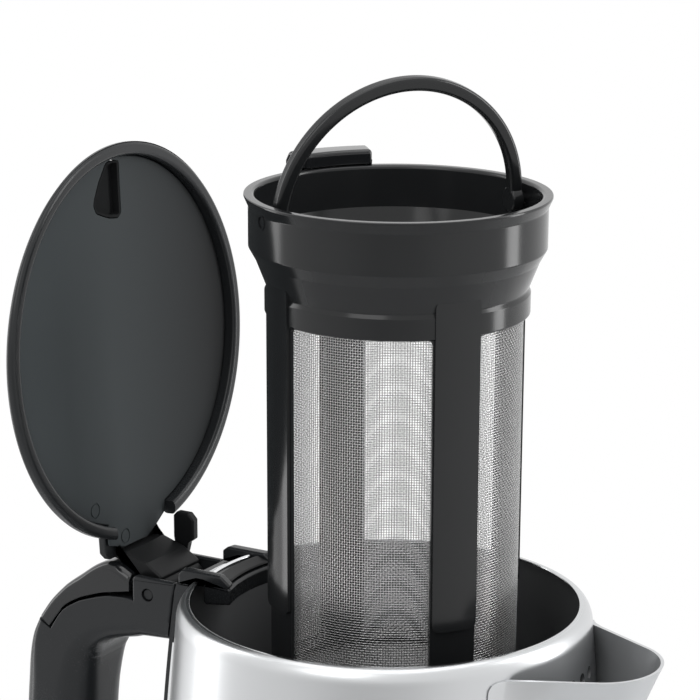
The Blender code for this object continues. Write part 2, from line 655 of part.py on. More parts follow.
plate_z = GAP + LID_RECESS
roof = plate_z + PLATE_T + GAP
inner_r = LID_R - LID_BAND
cover = [(0, roof), (inner_r, roof), (inner_r, GAP), (LID_R, GAP), (LID_R, LID_T - LID_ROUND)]
cover += [(LID_R - LID_ROUND * (1 - cos(a)), LID_T - LID_ROUND * (1 - sin(a))) for a in (radians(30), radians(60))]
cover += [(LID_R - LID_ROUND, LID_T), (0, LID_T)]
lid = lid_piece("lid_cover", revolve(cover), "black_satin")
ARM_FRONT_SHARES = ((0.91, -0.80), (1.82, 0.45), (2.09, 1.18), (2.39, 1.95))
ARM_BACK_SHARES = ((2.05, 3.25), (1.91, 2.73), (1.48, 1.41), (0.98, 1.05), (-0.2, 0.80))
ARM_REACH_SHARE = 3.70
roof_share = (roof - HINGE_Z) / KNUCKLE_R
back_share = ARM_BACK_SHARES[0][1]
arm_shares = ARM_FRONT_SHARES + ((ARM_FRONT_SHARES[-1][0], roof_share), (ARM_REACH_SHARE, roof_share))
arm_shares += ((ARM_REACH_SHARE, back_share),) + ARM_BACK_SHARES
arm = [(HINGE_X + KNUCKLE_R * u, HINGE_Z + KNUCKLE_R * v) for u, v in arm_shares]
tools = [lid_piece("arm", across(arm, -ARM_HALF, ARM_HALF), "black_satin")]
arm_top = HINGE_Z + KNUCKLE_R * back_share
ear_x = HINGE_X + EAR_FOOT
ear_end = HINGE_X + KNUCKLE_R * ARM_REACH_SHARE
ear = [(ear_x, -ARM_HALF + OVERRUN), (ear_x, -EAR_HALF + OVERRUN), (ear_x + OVERRUN, -EAR_HALF)]
ear += [(ear_end + OVERRUN, -EAR_HALF), (ear_end + OVERRUN, -ARM_HALF + OVERRUN)]
tools.append(lid_piece("ear", upright(ear, roof + GAP / 3, arm_top - GAP / 3), "black_satin"))
knuckle = crosswise(KNUCKLE_R, GAP - ARM_HALF, ARM_HALF - GAP, 20, HINGE_X, HINGE_Z)
tools.append(lid_piece("knuckle", knuckle, "black_satin"))
combine(lid, tools, "UNION")
bore = crosswise(PIN_R + GAP, -ARM_HALF - OVERRUN, ARM_HALF + OVERRUN, 12, HINGE_X, HINGE_Z)
notch = across([(-LID_R - OVERRUN, -OVERRUN), (-LID_R - OVERRUN, roof), (-inner_r * 0.9, roof),
                (-inner_r * 0.9, -OVERRUN)], -NOTCH_HALF, NOTCH_HALF)
POCKET_SHARES = ((0, 1.0), (1, 0.8), (1, -1.0), (0.75, -3.4), (0.38, -2.25), (0, -1.0))
pocket = [(POCKET_FAR - POCKET_L * u, POCKET_W * v) for u, v in POCKET_SHARES]


def grown(outline, by):
    """An outline moved outward on all sides."""
    mx = sum(x for x, y in outline) / len(outline)
    return [(x + (by if x > mx else -by), y + (by if y > 0 else -by)) for x, y in outline]


seat = upright(grown(pocket, POCKET_WALL + GAP), 0, plate_z + POCKET_DEEP + POCKET_WALL + GAP)
combine(lid, [lid_piece("cut", bore, "steel"), lid_piece("cut", notch, "steel"),
              lid_piece("cut", seat, "steel")], "DIFFERENCE")
plate_r = inner_r - GAP
plate = [(0, plate_z), (plate_r, plate_z), (plate_r, plate_z + PLATE_T), (0, plate_z + PLATE_T)]
plate = lid_piece("lid_inner_plate", revolve(plate), "black_satin")
tongue_half = NOTCH_HALF - GAP
tongue_x = HINGE_X + TONGUE_FOOT
tongue = [(-inner_r * 0.9, tongue_half), (-inner_r - GAP, tongue_half), (-inner_r - LID_BAND, tongue_half * 0.65)]
tongue += [(tongue_x, tongue_half * 0.30), (tongue_x, -tongue_half * 0.50), (tongue_x + OVERRUN, -tongue_half)]
tongue += [(-inner_r * 0.9, -tongue_half)]
blade = upright(tongue, plate_z + GAP / 3, plate_z + PLATE_T - GAP / 3)
combine(plate, [lid_piece("tongue", blade, "black_satin")], "UNION")
combine(plate, [lid_piece("cut", upright(grown(pocket, POCKET_WALL + GAP), 0, roof), "steel")], "DIFFERENCE")
tray = lid_piece("latch_pocket", upright(grown(pocket, POCKET_WALL), plate_z,
                                         plate_z + POCKET_DEEP + POCKET_WALL), "black_matte")
combine(tray, [lid_piece("cut", upright(pocket, 0, plate_z + POCKET_DEEP), "steel")], "DIFFERENCE")
disc = [(0, LID_T + GAP), (TOP_DISC_R, LID_T + GAP), (TOP_DISC_R, LID_T + GAP + TOP_DISC_T / 2)]
disc += [(TOP_DISC_R - TOP_DISC_T, LID_T + GAP + TOP_DISC_T), (0, LID_T + GAP + TOP_DISC_T)]
lid_piece("lid_top_disc", revolve(disc), "steel")

# Filter: frame with four windows, woven sleeve and floor, tab and bow
axis = (FILTER_X, 0, RING_TOP)


def filter_piece(name, body, slot):
    return make(name, body, slot, origin=axis)


STRUT_CELLS = 3
WINDOW_CELLS = 6
quarter = pi / 2
strut_half = STRUT_W / 2 / FRAME_R
angles = []
for side in range(4):
    middle = STRUT_TURN + side * quarter
    angles += [middle - strut_half + 2 * strut_half * k / STRUT_CELLS for k in range(STRUT_CELLS)]
    angles += [middle + strut_half + (quarter - 2 * strut_half) * k / WINDOW_CELLS for k in range(WINDOW_CELLS)]
frame_in = FRAME_R - FRAME_T
flange_z = RING_TOP - FLANGE_T
band_z = flange_z - BAND_H
bevel_z = band_z - BEVEL_H
cone_z = bevel_z - CONE_H
collar_z = cone_z - COLLAR_STEP
window_z = collar_z - COLLAR_H
foot_z = -FILTER_BELOW
levels = [
    ((FLANGE_R, RING_TOP), (RING_INNER_R, RING_TOP)),
    ((FLANGE_R, RING_TOP - FLANGE_T / 5), (RING_INNER_R, RING_TOP - FLANGE_T / 5)),
    ((BAND_R, flange_z), (RING_INNER_R, flange_z)),
    ((BAND_R, band_z), (RING_INNER_R, band_z + LEDGE_RISE)),
    ((BEVEL_R, bevel_z), (BEVEL_R - FRAME_T * 2, bevel_z)),
    ((FRAME_R - GAP / 3, cone_z), (frame_in, cone_z)),
    ((COLLAR_R, collar_z), (frame_in, collar_z)),
    ((COLLAR_R, window_z), (frame_in, window_z)),
    ((FRAME_R, window_z - GAP), (frame_in, window_z - GAP)),
    ((FRAME_R, foot_z + FOOT_RING_H), (frame_in, foot_z + FOOT_RING_H)),
    ((FRAME_R, foot_z + FRAME_T + GAP), (frame_in, foot_z + FRAME_T + GAP)),
    ((FRAME_R, foot_z + FRAME_T), (frame_in - FOOT_RING_H / 2, foot_z + FRAME_T)),
    ((FRAME_R - FRAME_T / 2, foot_z), (frame_in - FOOT_RING_H / 2, foot_z)),
]
WINDOW_LEVEL = 8


def frame_cell(i, j):
    return j != WINDOW_LEVEL or i % (STRUT_CELLS + WINDOW_CELLS) < STRUT_CELLS


frame = filter_piece("filter_frame", shell_of_cells(angles, levels, frame_cell, FILTER_X), "black_satin")

# Raised strips along the struts, their corners cut
STRIP_STEPS = 5
strips = []
for side in range(4):
    rings = []
    for k in range(STRIP_STEPS + 1):
        along_share = k / STRIP_STEPS - 1 / 2
        corner = STRIP_CORNER if k in (0, STRIP_STEPS) else 0
        a = STRUT_TURN + side * quarter + (STRUT_W - GAP * 2) / FRAME_R * along_share
        root = FRAME_R - FRAME_T / 2
        shape = [(root, STRIP_LOW + corner), (STRIP_R, STRIP_LOW + corner), (STRIP_R, STRIP_TOP - corner)]
        shape += [((FRAME_R + STRIP_R) / 2, STRIP_TOP - corner), (root, cone_z)]
        rings.append([(FILTER_X + r * cos(a), r * sin(a), z) for r, z in shape])
    strips.append(filter_piece("strip", loft(rings), "black_satin"))
combine(frame, strips, "UNION")


def outward(radius, low, high, turn, z, segments=12):
    """A round bar along a radius of the filter."""
    body = upright(round_outline(radius, segments), low, high)
    place = Matrix.Translation((FILTER_X, 0, z)) @ Matrix.Rotation(turn, 4, "Z") @ Matrix.Rotation(pi / 2, 4, "Y")
    return [tuple(place @ Vector(v)) for v in body[0]], body[1]


pivot_turn = BAIL_TURN
pivot_z = RING_TOP - BAIL_DROP
boss_out = (BAND_R + FLANGE_R) / 2
bosses, pivots = [], []
for turn in (pivot_turn, pivot_turn + pi):
    bosses.append(filter_piece("boss", outward(EYE_R * 0.6, RING_INNER_R + GAP, boss_out, turn, pivot_z), "steel"))
    pivots.append(filter_piece("hole", outward(PIVOT_R + GAP, RING_INNER_R - OVERRUN, boss_out + OVERRUN, turn,
                                               pivot_z, 8), "steel"))
combine(frame, bosses, "UNION")
combine(frame, pivots, "DIFFERENCE")

# The woven wire as a plain grid: openings between thin bars, behind the frame's windows
sleeve_r = frame_in - GAP * 3 / 2
sleeve_top = window_z + COLLAR_H / 2
sleeve_low = foot_z + FRAME_T + GAP * 3 + MESH_T
window_turn = quarter - 2 * strut_half
bar_turn = MESH_BAR / sleeve_r
hole_turn = (window_turn - bar_turn * (MESH_ACROSS - 1)) / MESH_ACROSS
mesh_angles = []
for side in range(4):
    start = STRUT_TURN + side * quarter - strut_half
    mesh_angles += [start, start + strut_half]
    for k in range(MESH_ACROSS):
        hole_start = start + 2 * strut_half + k * (hole_turn + bar_turn)
        mesh_angles.append(hole_start)
        if k < MESH_ACROSS - 1:
            mesh_angles.append(hole_start + hole_turn)
low_hole = foot_z + FOOT_RING_H
hole_h = (window_z - low_hole - MESH_BAR * (MESH_DOWN - 1)) / MESH_DOWN
heights = [sleeve_top]
for k in range(MESH_DOWN):
    top = window_z - k * (hole_h + MESH_BAR)
    heights += [top, top - hole_h]
heights.append(sleeve_low)
mesh_levels = [((sleeve_r, z), (sleeve_r - MESH_T, z)) for z in heights]
CELLS_PER_SIDE = len(mesh_angles) // 4
CELLS_ON_STRUT = 2


def mesh_cell(i, j):
    place = i % CELLS_PER_SIDE - CELLS_ON_STRUT
    return j % 2 == 0 or place < 0 or place % 2 == 1


filter_piece("filter_mesh", shell_of_cells(mesh_angles, mesh_levels, mesh_cell, FILTER_X), "wire")
floor_low = foot_z + FRAME_T + GAP
floor_disc = [(0, floor_low), (sleeve_r, floor_low), (sleeve_r, floor_low + MESH_T), (0, floor_low + MESH_T)]
filter_piece("filter_floor_mesh", revolve(floor_disc, centre=FILTER_X), "wire")

tab_in = RING_INNER_R + FLANGE_T / 4
tab_out = FLANGE_R + TAB_OUT
tab = [(FLANGE_R + GAP, RING_TOP - TAB_DROP), (tab_out, RING_TOP - TAB_DROP)]
tab += [(tab_out, RING_TOP + TAB_RISE - TAB_CHAMFER), (tab_out - TAB_CHAMFER * 0.7, RING_TOP + TAB_RISE)]
tab += [(tab_in, RING_TOP + TAB_RISE), (tab_in, RING_TOP + GAP), (FLANGE_R + GAP, RING_TOP + GAP)]
rings = []
for k in range(7):
    a = TAB_TURN + TAB_W / FLANGE_R * (k / 6 - 0.5)
    rings.append([(FILTER_X + r * cos(a), r * sin(a), z) for r, z in tab])
filter_piece("filter_tab", loft(rings), "black_gloss")

# Bow of the filter, leaning a little
pivot = Vector((FILTER_X, 0, pivot_z))
along = Vector((cos(pivot_turn), sin(pivot_turn), 0))
lean = Vector((cos(BAIL_TURN - pi / 2), sin(BAIL_TURN - pi / 2), 0))
up = (Vector((0, 0, 1)) * cos(BAIL_LEAN) + lean * sin(BAIL_LEAN)).normalized()
side = along.cross(up)
bow_outline = box_outline(BAIL_T / 2, BAIL_T / 2, BAIL_T / 4)
rings = []
for k in range(25):
    a = pi * k / 24
    out = along * cos(a) + up * sin(a)
    middle = pivot + out * BAIL_R
    rings.append([tuple(middle + out * u + side * v) for u, v in bow_outline])
bail = make("bail_handle", loft(rings), "black_satin", origin=tuple(pivot))
eyes = []
for turn in (pivot_turn, pivot_turn + pi):
    for radius, low, high in ((EYE_R, BAIL_R - BAIL_T / 2 + GAP / 3, BAIL_R + BAIL_T / 2 - GAP / 3),
                              (PIVOT_R, BAIL_R, boss_out - GAP)):
        eyes.append(make("eye", outward(radius, low, high, turn, pivot_z), "steel", origin=tuple(pivot)))
combine(bail, eyes, "UNION")

# Power base
plate_low = FOOT_H
base = [(BASE_R - BASE_WALL / 2, plate_low), (BASE_R, plate_low + BASE_WALL / 2), (BASE_R, BASE_SIDE)]
base += [(BASE_R - BAND_IN, DECK_Z), (SOCKET_R + GAP, DECK_Z), (SOCKET_R + GAP, DECK_Z - BASE_WALL)]
base += [(BASE_R - BAND_IN - BASE_WALL / 2, DECK_Z - BASE_WALL), (BASE_R - BASE_WALL, BASE_SIDE - BASE_WALL / 3)]
base += [(BASE_R - BASE_WALL, plate_low)]
shell = make("base_shell", revolve(base), "black_satin", height=0)
slant = atan2(DECK_Z - BASE_SIDE, BAND_IN)
band_mid_r = BASE_R - BAND_IN * 0.56
band_mid_z = BASE_SIDE + (DECK_Z - BASE_SIDE) * 0.56


def on_band(body, turn):
    """Stand a body upright on the slanted band, a turn away from the middle of the front."""
    place = Matrix.Rotation(turn, 4, "Z") @ Matrix.Translation((0, -band_mid_r, band_mid_z))
    place = place @ Matrix.Rotation(slant, 4, "X")
    return [tuple(place @ Vector(v)) for v in body[0]], body[1]


def band_origin(turn):
    spot = Matrix.Rotation(turn, 4, "Z") @ Vector((0, -band_mid_r, band_mid_z))
    return (spot.x, spot.y, spot.z)


dial_profile = [(0, GAP), (DIAL_R, GAP), (DIAL_R, DIAL_H * 0.8), (DIAL_R - DIAL_H * 0.2, DIAL_H), (0, DIAL_H)]
shaft_low = GAP * 2 - DIAL_SHAFT_L
shaft = [(0, shaft_low), (DIAL_SHAFT_R, shaft_low), (DIAL_SHAFT_R, DIAL_H / 2), (0, DIAL_H / 2)]
dial = make("control_dial", on_band(revolve(dial_profile, 24), 0), "black_gloss", height=0, origin=band_origin(0))
stem = make("stem", on_band(revolve(shaft, 12), 0), "black_gloss", height=0, origin=band_origin(0))
ridge = upright(box_outline(DIAL_R * 0.16, DIAL_R * 0.8, GAP), DIAL_H / 2, DIAL_H + GAP * 2)
grip_ridge = make("ridge", on_band(ridge, 0), "black_gloss", height=0, origin=band_origin(0))
combine(dial, [stem, grip_ridge], "UNION")
cutters = [make("cut", on_band(revolve([(0, -BASE_WALL * 3), (DIAL_SHAFT_R + GAP, -BASE_WALL * 3),
                                        (DIAL_SHAFT_R + GAP, OVERRUN), (0, OVERRUN)], 12), 0), "steel", height=0)]
key_names = {"brew_key": -2, "warm_key": -1, "timer_key": 1, "power_key": 2}
for name, steps in key_names.items():
    turn = steps * KEY_STEP + (KEY_STEP * 0.2 if steps > 0 else -KEY_STEP * 0.2)
    key = [(0, -KEY_IN), (KEY_R, -KEY_IN), (KEY_R, KEY_OUT - GAP), (KEY_R - GAP, KEY_OUT), (0, KEY_OUT)]
    make(name, on_band(revolve(key, 16), turn), "black_gloss", height=0, origin=band_origin(turn))
    well = [(0, -BASE_WALL * 3), (KEY_R + GAP, -BASE_WALL * 3), (KEY_R + GAP, OVERRUN), (0, OVERRUN)]
    cutters.append(make("cut", on_band(revolve(well, 16), turn), "steel", height=0))
combine(shell, cutters, "DIFFERENCE")

# Display window laid on the band at the handle's side of the keys
show_turn = -KEY_STEP * 4
show = upright(box_outline(DISPLAY_W / 2, DISPLAY_H / 2, GAP * 3), GAP, GAP + DISPLAY_T)
make("display_window", on_band(show, show_turn), "glass", height=0)

board_r = BASE_R * 0.6
board_z = FOOT_H + PLATE_H + GAP
board = [(SOCKET_R + BASE_WALL * 2, board_z), (board_r, board_z)]
board += [(r, z + BOARD_T) for r, z in board[::-1]]
make("control_board", revolve(board, 20), "board", height=0)

under_r = BASE_R - BASE_WALL - GAP
under = [(0, plate_low), (under_r, plate_low), (under_r, plate_low + PLATE_H), (0, plate_low + PLATE_H)]
make("base_plate", revolve(under), "black_matte", height=0)
foot_places = {"foot_front_right": -0.25, "foot_back_right": 0.25, "foot_back_left": 0.75, "foot_front_left": -0.75}
for name, share in foot_places.items():
    a = pi * share
    r = BASE_R - FOOT_IN
    foot = [(0, 0), (FOOT_R - FOOT_H / 4, 0), (FOOT_R, FOOT_H / 4), (FOOT_R, FOOT_H - GAP), (0, FOOT_H - GAP)]
    body = revolve(foot, 16)
    make(name, ([(x + r * cos(a), y + r * sin(a), z) for x, y, z in body[0]], body[1]), "rubber", height=0)

flange_low = plate_low + PLATE_H + GAP
tower_z = DECK_Z + TOWER_H
tower = [(0, flange_low), (SOCKET_R, flange_low), (SOCKET_R, DECK_Z), (TOWER_R, DECK_Z)]
tower += [(TOWER_R, tower_z - BASE_WALL / 2), (TOWER_R - BASE_WALL / 2, tower_z), (0, tower_z)]
make("base_connector", revolve(tower, 24), "black_matte", height=0)

# Print what the record needs
for label, value in (("axis x", AXIS_X), ("rim z", RIM_Z), ("slant deg", degrees(slant)),
                     ("band middle", (band_mid_r, band_mid_z)), ("button pivot", button_pivot),
                     ("pivot z", RIM_Z + pivot_z)):
    print(label, value)
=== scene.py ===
# %% [markdown]
# # An automatic tea maker, seen from just above its open jug
#
# The solid CAD model is already built and packed. This notebook dresses it: it loads the model as a fixed frame, builds
# finer pieces where the photograph shows round edges, real wire or brushed metal, gives every piece a material written
# as a small formula, and sets up the camera and lamps like a product photographer's table. Every cell says what it does
# and why, so it can be read as a first course in building a picture in Blender.

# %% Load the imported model
import json
import math
import bpy
import bmesh
import numpy as np
from mathutils import Matrix, Vector

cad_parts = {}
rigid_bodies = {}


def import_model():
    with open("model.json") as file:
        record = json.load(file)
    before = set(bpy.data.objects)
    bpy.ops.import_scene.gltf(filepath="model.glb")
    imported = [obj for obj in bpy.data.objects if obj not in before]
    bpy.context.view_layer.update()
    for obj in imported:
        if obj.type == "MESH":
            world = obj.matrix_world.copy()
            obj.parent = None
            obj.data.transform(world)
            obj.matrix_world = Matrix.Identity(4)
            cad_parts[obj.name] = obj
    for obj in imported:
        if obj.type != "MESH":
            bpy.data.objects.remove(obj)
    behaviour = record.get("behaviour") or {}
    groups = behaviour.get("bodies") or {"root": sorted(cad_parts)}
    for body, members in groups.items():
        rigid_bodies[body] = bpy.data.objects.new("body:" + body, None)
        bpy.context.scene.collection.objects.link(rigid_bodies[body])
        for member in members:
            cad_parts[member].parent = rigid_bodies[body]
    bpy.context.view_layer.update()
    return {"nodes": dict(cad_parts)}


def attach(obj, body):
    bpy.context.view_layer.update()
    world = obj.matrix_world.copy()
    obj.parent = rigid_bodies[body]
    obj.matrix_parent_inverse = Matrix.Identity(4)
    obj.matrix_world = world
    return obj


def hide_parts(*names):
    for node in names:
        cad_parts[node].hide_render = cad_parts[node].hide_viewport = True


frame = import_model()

print("frame loaded with", len(frame["nodes"]), "nodes")

# %% [markdown]
# ## Sizes
#
# All lengths are metres. The jug, lid and filter are measured from the rim plane, and two numbers move them into the
# shared frame: the jug's axis stands AX along X, and the rim is RIM above the table. Most sizes are those of the CAD
# source. The jug's outline is a closer reading of the photograph: up to 2.4 mm narrower in radius below the shoulder,
# and of thinner steel.

# %% Sizes shared by the pieces
GAP = 0.0003
AX, RIM = 0.0168, 0.2269
RIM_R, SHOULDER_R, SHOULDER_DROP = 0.0529, 0.0561, 0.0052
BODY_R, BODY_BEND, BODY_H, JUG_DEPTH, STEEL_T = 0.0657, 1.78, 0.1933, 0.1853, 0.0006
HINGE_X, HINGE_Z, LID_OPEN = -0.0682, -0.0071, math.radians(93.5)
FILTER_X, RING_TOP, FOOT_Z, WINDOW_Z = 0.0032, 0.1108, -0.0250, 0.0802
HANDLE_HALF, GRIP_DROP = 0.0130, 0.1540
STRUT_TURN, BOW_TURN = math.radians(-34.2), math.radians(56.5)
print("rim %.0f mm above the table" % (RIM * 1000))


def barrel_r(z, rim, shoulder, belly, bend):
    """Radius at a height under the rim: a quarter ellipse from rim to shoulder, then a power curve out to the belly."""
    down = -np.asarray(z, float)
    lean = np.arccos(np.clip(1 - down / SHOULDER_DROP, -1, 1))
    top = rim + (shoulder - rim) * np.sin(np.minimum(lean, np.pi / 2))
    share = np.clip((down - SHOULDER_DROP) / (BODY_H - SHOULDER_DROP), 0, 1)
    side = belly - (belly - shoulder) * (1 - share) ** bend
    return np.where(down < SHOULDER_DROP, top, side)


def wall_r(z):
    """Outer radius of the steel at a height below the rim (z is negative); works on arrays."""
    return barrel_r(z, RIM_R, SHOULDER_R, BODY_R, BODY_BEND)


# %% [markdown]
# ## Tools for building surfaces
#
# A surface here is a list of points and a list of faces. Two recipes make nearly everything: a *turned* piece spins an
# outline around an upright axis, and a *lofted* piece joins rings of points one after another, like the hoops of a
# barrel. Sharp outlines are softened first, because real edges are never perfectly sharp and the small roundings catch
# the light.

# %% Outlines: rounded corners and offsets
def soften(points, radius, steps=5):
    """Replace each corner of a closed outline by an arc of the given radius (one number, or one per corner)."""
    pts = np.array(points, float)
    radii = radius if hasattr(radius, "__len__") else [radius] * len(pts)
    out = []
    for i, here in enumerate(pts):
        to_last, to_next = pts[i - 1] - here, pts[(i + 1) % len(pts)] - here
        la, lb = np.linalg.norm(to_last), np.linalg.norm(to_next)
        u, v = to_last / la, to_next / lb
        half = math.acos(max(-1, min(1, u @ v))) / 2
        reach = min(radii[i] / max(math.tan(half), 1e-9), 0.49 * la, 0.49 * lb)
        r = reach * math.tan(half)
        if reach < 1e-7 or half > 1.54:
            out.append(here)
            continue
        middle = here + (u + v) / np.linalg.norm(u + v) * r / math.sin(half)
        p, q = here + u * reach - middle, here + v * reach - middle
        w = math.acos(max(-1, min(1, p @ q / r ** 2)))
        for t in np.linspace(0, 1, steps + 1):
            out.append(middle + (math.sin((1 - t) * w) * p + math.sin(t * w) * q) / math.sin(w))
    return np.array(out)


def inset(outline, by):
    """Move a closed outline inward along its own normals."""
    ahead, back = np.roll(outline, -1, 0), np.roll(outline, 1, 0)
    along = ahead - back
    along /= np.linalg.norm(along, axis=1)[:, None] + 1e-12
    area = np.sum(outline[:, 0] * ahead[:, 1] - ahead[:, 0] * outline[:, 1])
    normal = np.stack([-along[:, 1], along[:, 0]], 1) * (1 if area > 0 else -1)
    return outline + normal * by


def smooth_line(points, count):
    """A smooth curve through the given points (Catmull-Rom: a cubic between each two), sampled at count places."""
    p = np.array(points, float)
    p = np.vstack([2 * p[0] - p[1], p, 2 * p[-1] - p[-2]])
    spans = len(p) - 3
    t = np.linspace(0, spans, count)
    k = np.minimum(t.astype(int), spans - 1)
    f = (t - k)[:, None]
    a, b, c, d = p[k], p[k + 1], p[k + 2], p[k + 3]
    return 0.5 * (2 * b + (c - a) * f + (2 * a - 5 * b + 4 * c - d) * f ** 2 + (3 * b - a - 3 * c + d) * f ** 3)


def ring_of(radius, count=48, centre=(0, 0)):
    """Evenly spaced points of a circle: cosine and sine of equal turns, times the radius."""
    a = np.arange(count) * 2 * np.pi / count
    return np.stack([centre[0] + radius * np.cos(a), centre[1] + radius * np.sin(a)], 1)


square = soften([(0, 0), (1, 0), (1, 1), (0, 1)], 0.2)
print("a softened square has %d points; moved in, it is %.1f wide" % (len(square), np.ptp(inset(square, 0.1)[:, 0])))

# %% [markdown]
# Joining is a matter of counting. Point i of one ring has a neighbour i + 1, and the same two points on the next ring
# complete a four-sided face. Where an outline touches the axis, a whole ring shrinks to one point, and the faces there
# have three sides. A plate with rounded rims is a stack of the same outline, which shrinks by a quarter circle at both
# ends.

# %% Surfaces: turned, lofted, slab and spoke
def turned(profile, segments=192, centre=0.0):
    """Spin a closed (radius, height) outline about the upright axis through x = centre; radius 0 gives one point."""
    a = np.arange(segments) * 2 * np.pi / segments
    sizes = [segments if r > 1e-6 else 1 for r, z in profile]
    firsts = np.cumsum([0] + sizes[:-1])
    verts = [np.stack([centre + r * np.cos(a[:size]), r * np.sin(a[:size]), np.full(size, z)], 1)
             for (r, z), size in zip(profile, sizes)]
    columns = [np.broadcast_to(first + np.arange(size), segments) for first, size in zip(firsts, sizes)]
    faces = []
    for k, low in enumerate(columns):
        after = (k + 1) % len(columns)
        high = columns[after]
        quads = np.stack([low, np.roll(low, -1), np.roll(high, -1), high], 1)
        if sizes[k] > 1 or sizes[after] > 1:
            faces += quads[:, int(sizes[k] == 1):3 + int(sizes[after] > 1)].tolist()
    return np.vstack(verts), faces


def lofted(rings):
    """Join closed rings of equally many points, one after another, and close both ends."""
    n, m = len(rings[0]), len(rings)
    i = np.arange(n)
    j = (i + 1) % n
    quads = [np.stack([k * n + i, k * n + j, (k + 1) * n + j, (k + 1) * n + i], 1) for k in range(m - 1)]
    return np.vstack(rings), np.vstack(quads).tolist() + [list(range(n))[::-1], list(range((m - 1) * n, m * n))]


def rounded_ends(low, high, edge, between=0, steps=4):
    """Places from low to high, each with how much an outline shrinks there: a quarter circle of radius edge per end."""
    t = np.linspace(0, np.pi / 2, steps + 1)
    rise, shrink = edge * (1 - np.cos(t)), edge * (1 - np.sin(t))
    middle = np.linspace(low + edge, high - edge, between + 2)[1:-1]
    return list(zip(np.concatenate([low + rise, middle, (high - rise)[::-1]]),
                    np.concatenate([shrink, 0 * middle, shrink[::-1]])))


def slab(outline, low, high, edge, to_3d):
    """A plate with rounded rims: the outline shrinks by a quarter circle at both faces."""
    return lofted([to_3d(inset(outline, shrink), level) for level, shrink in rounded_ends(low, high, edge)])


def side_view(outline, y):
    """Lay an outline drawn in x and z at the depth y."""
    return np.stack([outline[:, 0], np.full(len(outline), y), outline[:, 1]], 1)


def top_view(outline, z):
    """Lay an outline drawn in x and y at the height z."""
    return np.stack([outline[:, 0], outline[:, 1], np.full(len(outline), z)], 1)


def spoke(radius, low, high, turn, height, centre=0.0, edge=0.0, count=28):
    """A round bar along a radius, from low to high away from the upright axis through x = centre."""
    circle = ring_of(radius, count)
    verts, faces = slab(circle, low, high, edge, top_view) if edge else \
        lofted([top_view(circle, level) for level in (low, high)])
    c, s = math.cos(turn), math.sin(turn)
    away, across, up = verts[:, 2], verts[:, 1], -verts[:, 0]
    return np.stack([centre + c * away - s * across, s * away + c * across, height + up], 1), faces


print("a turned ring of 4 x 8 points has", len(turned([(1, 0), (2, 0), (2, 1), (1, 1)], 8)[1]), "faces")

# %% [markdown]
# Every piece is drawn around the jug's axis, with its heights measured from the rim, or from the table for the base.
# Adding to its points moves it into the shared frame, so that the object itself stays at the origin. Cutting and
# welding use Blender's boolean modifier, which is worked out at once and kept as plain mesh. The last step lets large
# faces decide the shading next to small roundings.

# %% Placing, carving and dressing a piece
def mesh_object(name, body, lift=RIM, sharp=32):
    """Make a mesh object whose points already stand in the shared frame."""
    verts, faces = body
    mesh = bpy.data.meshes.new(name)
    mesh.from_pydata((verts + [AX, 0, lift]).tolist(), [], faces)
    work = bmesh.new()
    work.from_mesh(mesh)
    bmesh.ops.recalc_face_normals(work, faces=work.faces)
    work.to_mesh(mesh)
    work.free()
    mesh.shade_smooth()
    mesh.set_sharp_from_angle(angle=math.radians(sharp))
    thing = bpy.data.objects.new(name, mesh)
    bpy.context.scene.collection.objects.link(thing)
    return thing


def settle(thing):
    """Work out a piece's modifiers and keep the result as its plain mesh."""
    bpy.context.view_layer.update()
    made = bpy.data.meshes.new_from_object(thing.evaluated_get(bpy.context.evaluated_depsgraph_get()))
    thing.modifiers.clear()
    thing.data = made


def carve(thing, tools, operation="DIFFERENCE", sharp=32):
    """Cut tools out of a piece, or weld them on."""
    for tool in tools:
        step = thing.modifiers.new("carve", "BOOLEAN")
        step.operation, step.solver, step.object = operation, "MANIFOLD", tool
    settle(thing)
    thing.data.shade_smooth()
    thing.data.set_sharp_from_angle(angle=math.radians(sharp))
    for tool in tools:
        bpy.data.objects.remove(tool, do_unlink=True)


def dress(thing, look, body, replaces):
    """Even out a piece's shading; give it its material and its body to move with, and hide the CAD nodes it stands for.
    """
    if not thing.name.startswith("woven"):
        step = thing.modifiers.new("even", "WEIGHTED_NORMAL")
        step.keep_sharp, step.weight = True, 100
        settle(thing)
    thing.data.materials.clear()
    thing.data.materials.append(look)
    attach(thing, body)
    for node in replaces:
        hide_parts(node)


print("ready to build")

# %% [markdown]
# ## Materials as formulas
#
# A Blender material is a small network of nodes. To keep it readable, the network is written as arithmetic: a `Wire`
# stands for one socket, and adding or multiplying two wires adds the matching Math node. Every other node comes from
# one method, `node`. Numbers that stay constant are set straight on the shader. Everything that varies comes from
# Object coordinates or from a number stored on the mesh, so no picture has to be painted. Two of these varying colours
# are painted light: the shade inside the jug and spout, and the lighter side of the lid's inner plate.

# %% Wires that understand arithmetic, and the method that adds nodes
COLOUR_A, COLOUR_B, MIXED_COLOUR = 6, 7, 2


class Wire:
    """One output socket of a network."""

    def __init__(self, network, socket):
        self.network, self.socket = network, socket

    def math(self, operation, other, swap=False):
        """This wire and another wire or number, joined by a Math node."""
        first, second = (other, self) if swap else (self, other)
        return self.network.node("ShaderNodeMath", {"operation": operation}, {0: first, 1: second})

    def __add__(self, o): return self.math("ADD", o)
    def __radd__(self, o): return self.math("ADD", o, True)
    def __sub__(self, o): return self.math("SUBTRACT", o)
    def __rsub__(self, o): return self.math("SUBTRACT", o, True)
    def __mul__(self, o): return self.math("MULTIPLY", o)
    def __rmul__(self, o): return self.math("MULTIPLY", o, True)

    def between(self, low, high):
        """The wire, held between two limits."""
        return self.math("MAXIMUM", low).math("MINIMUM", high)


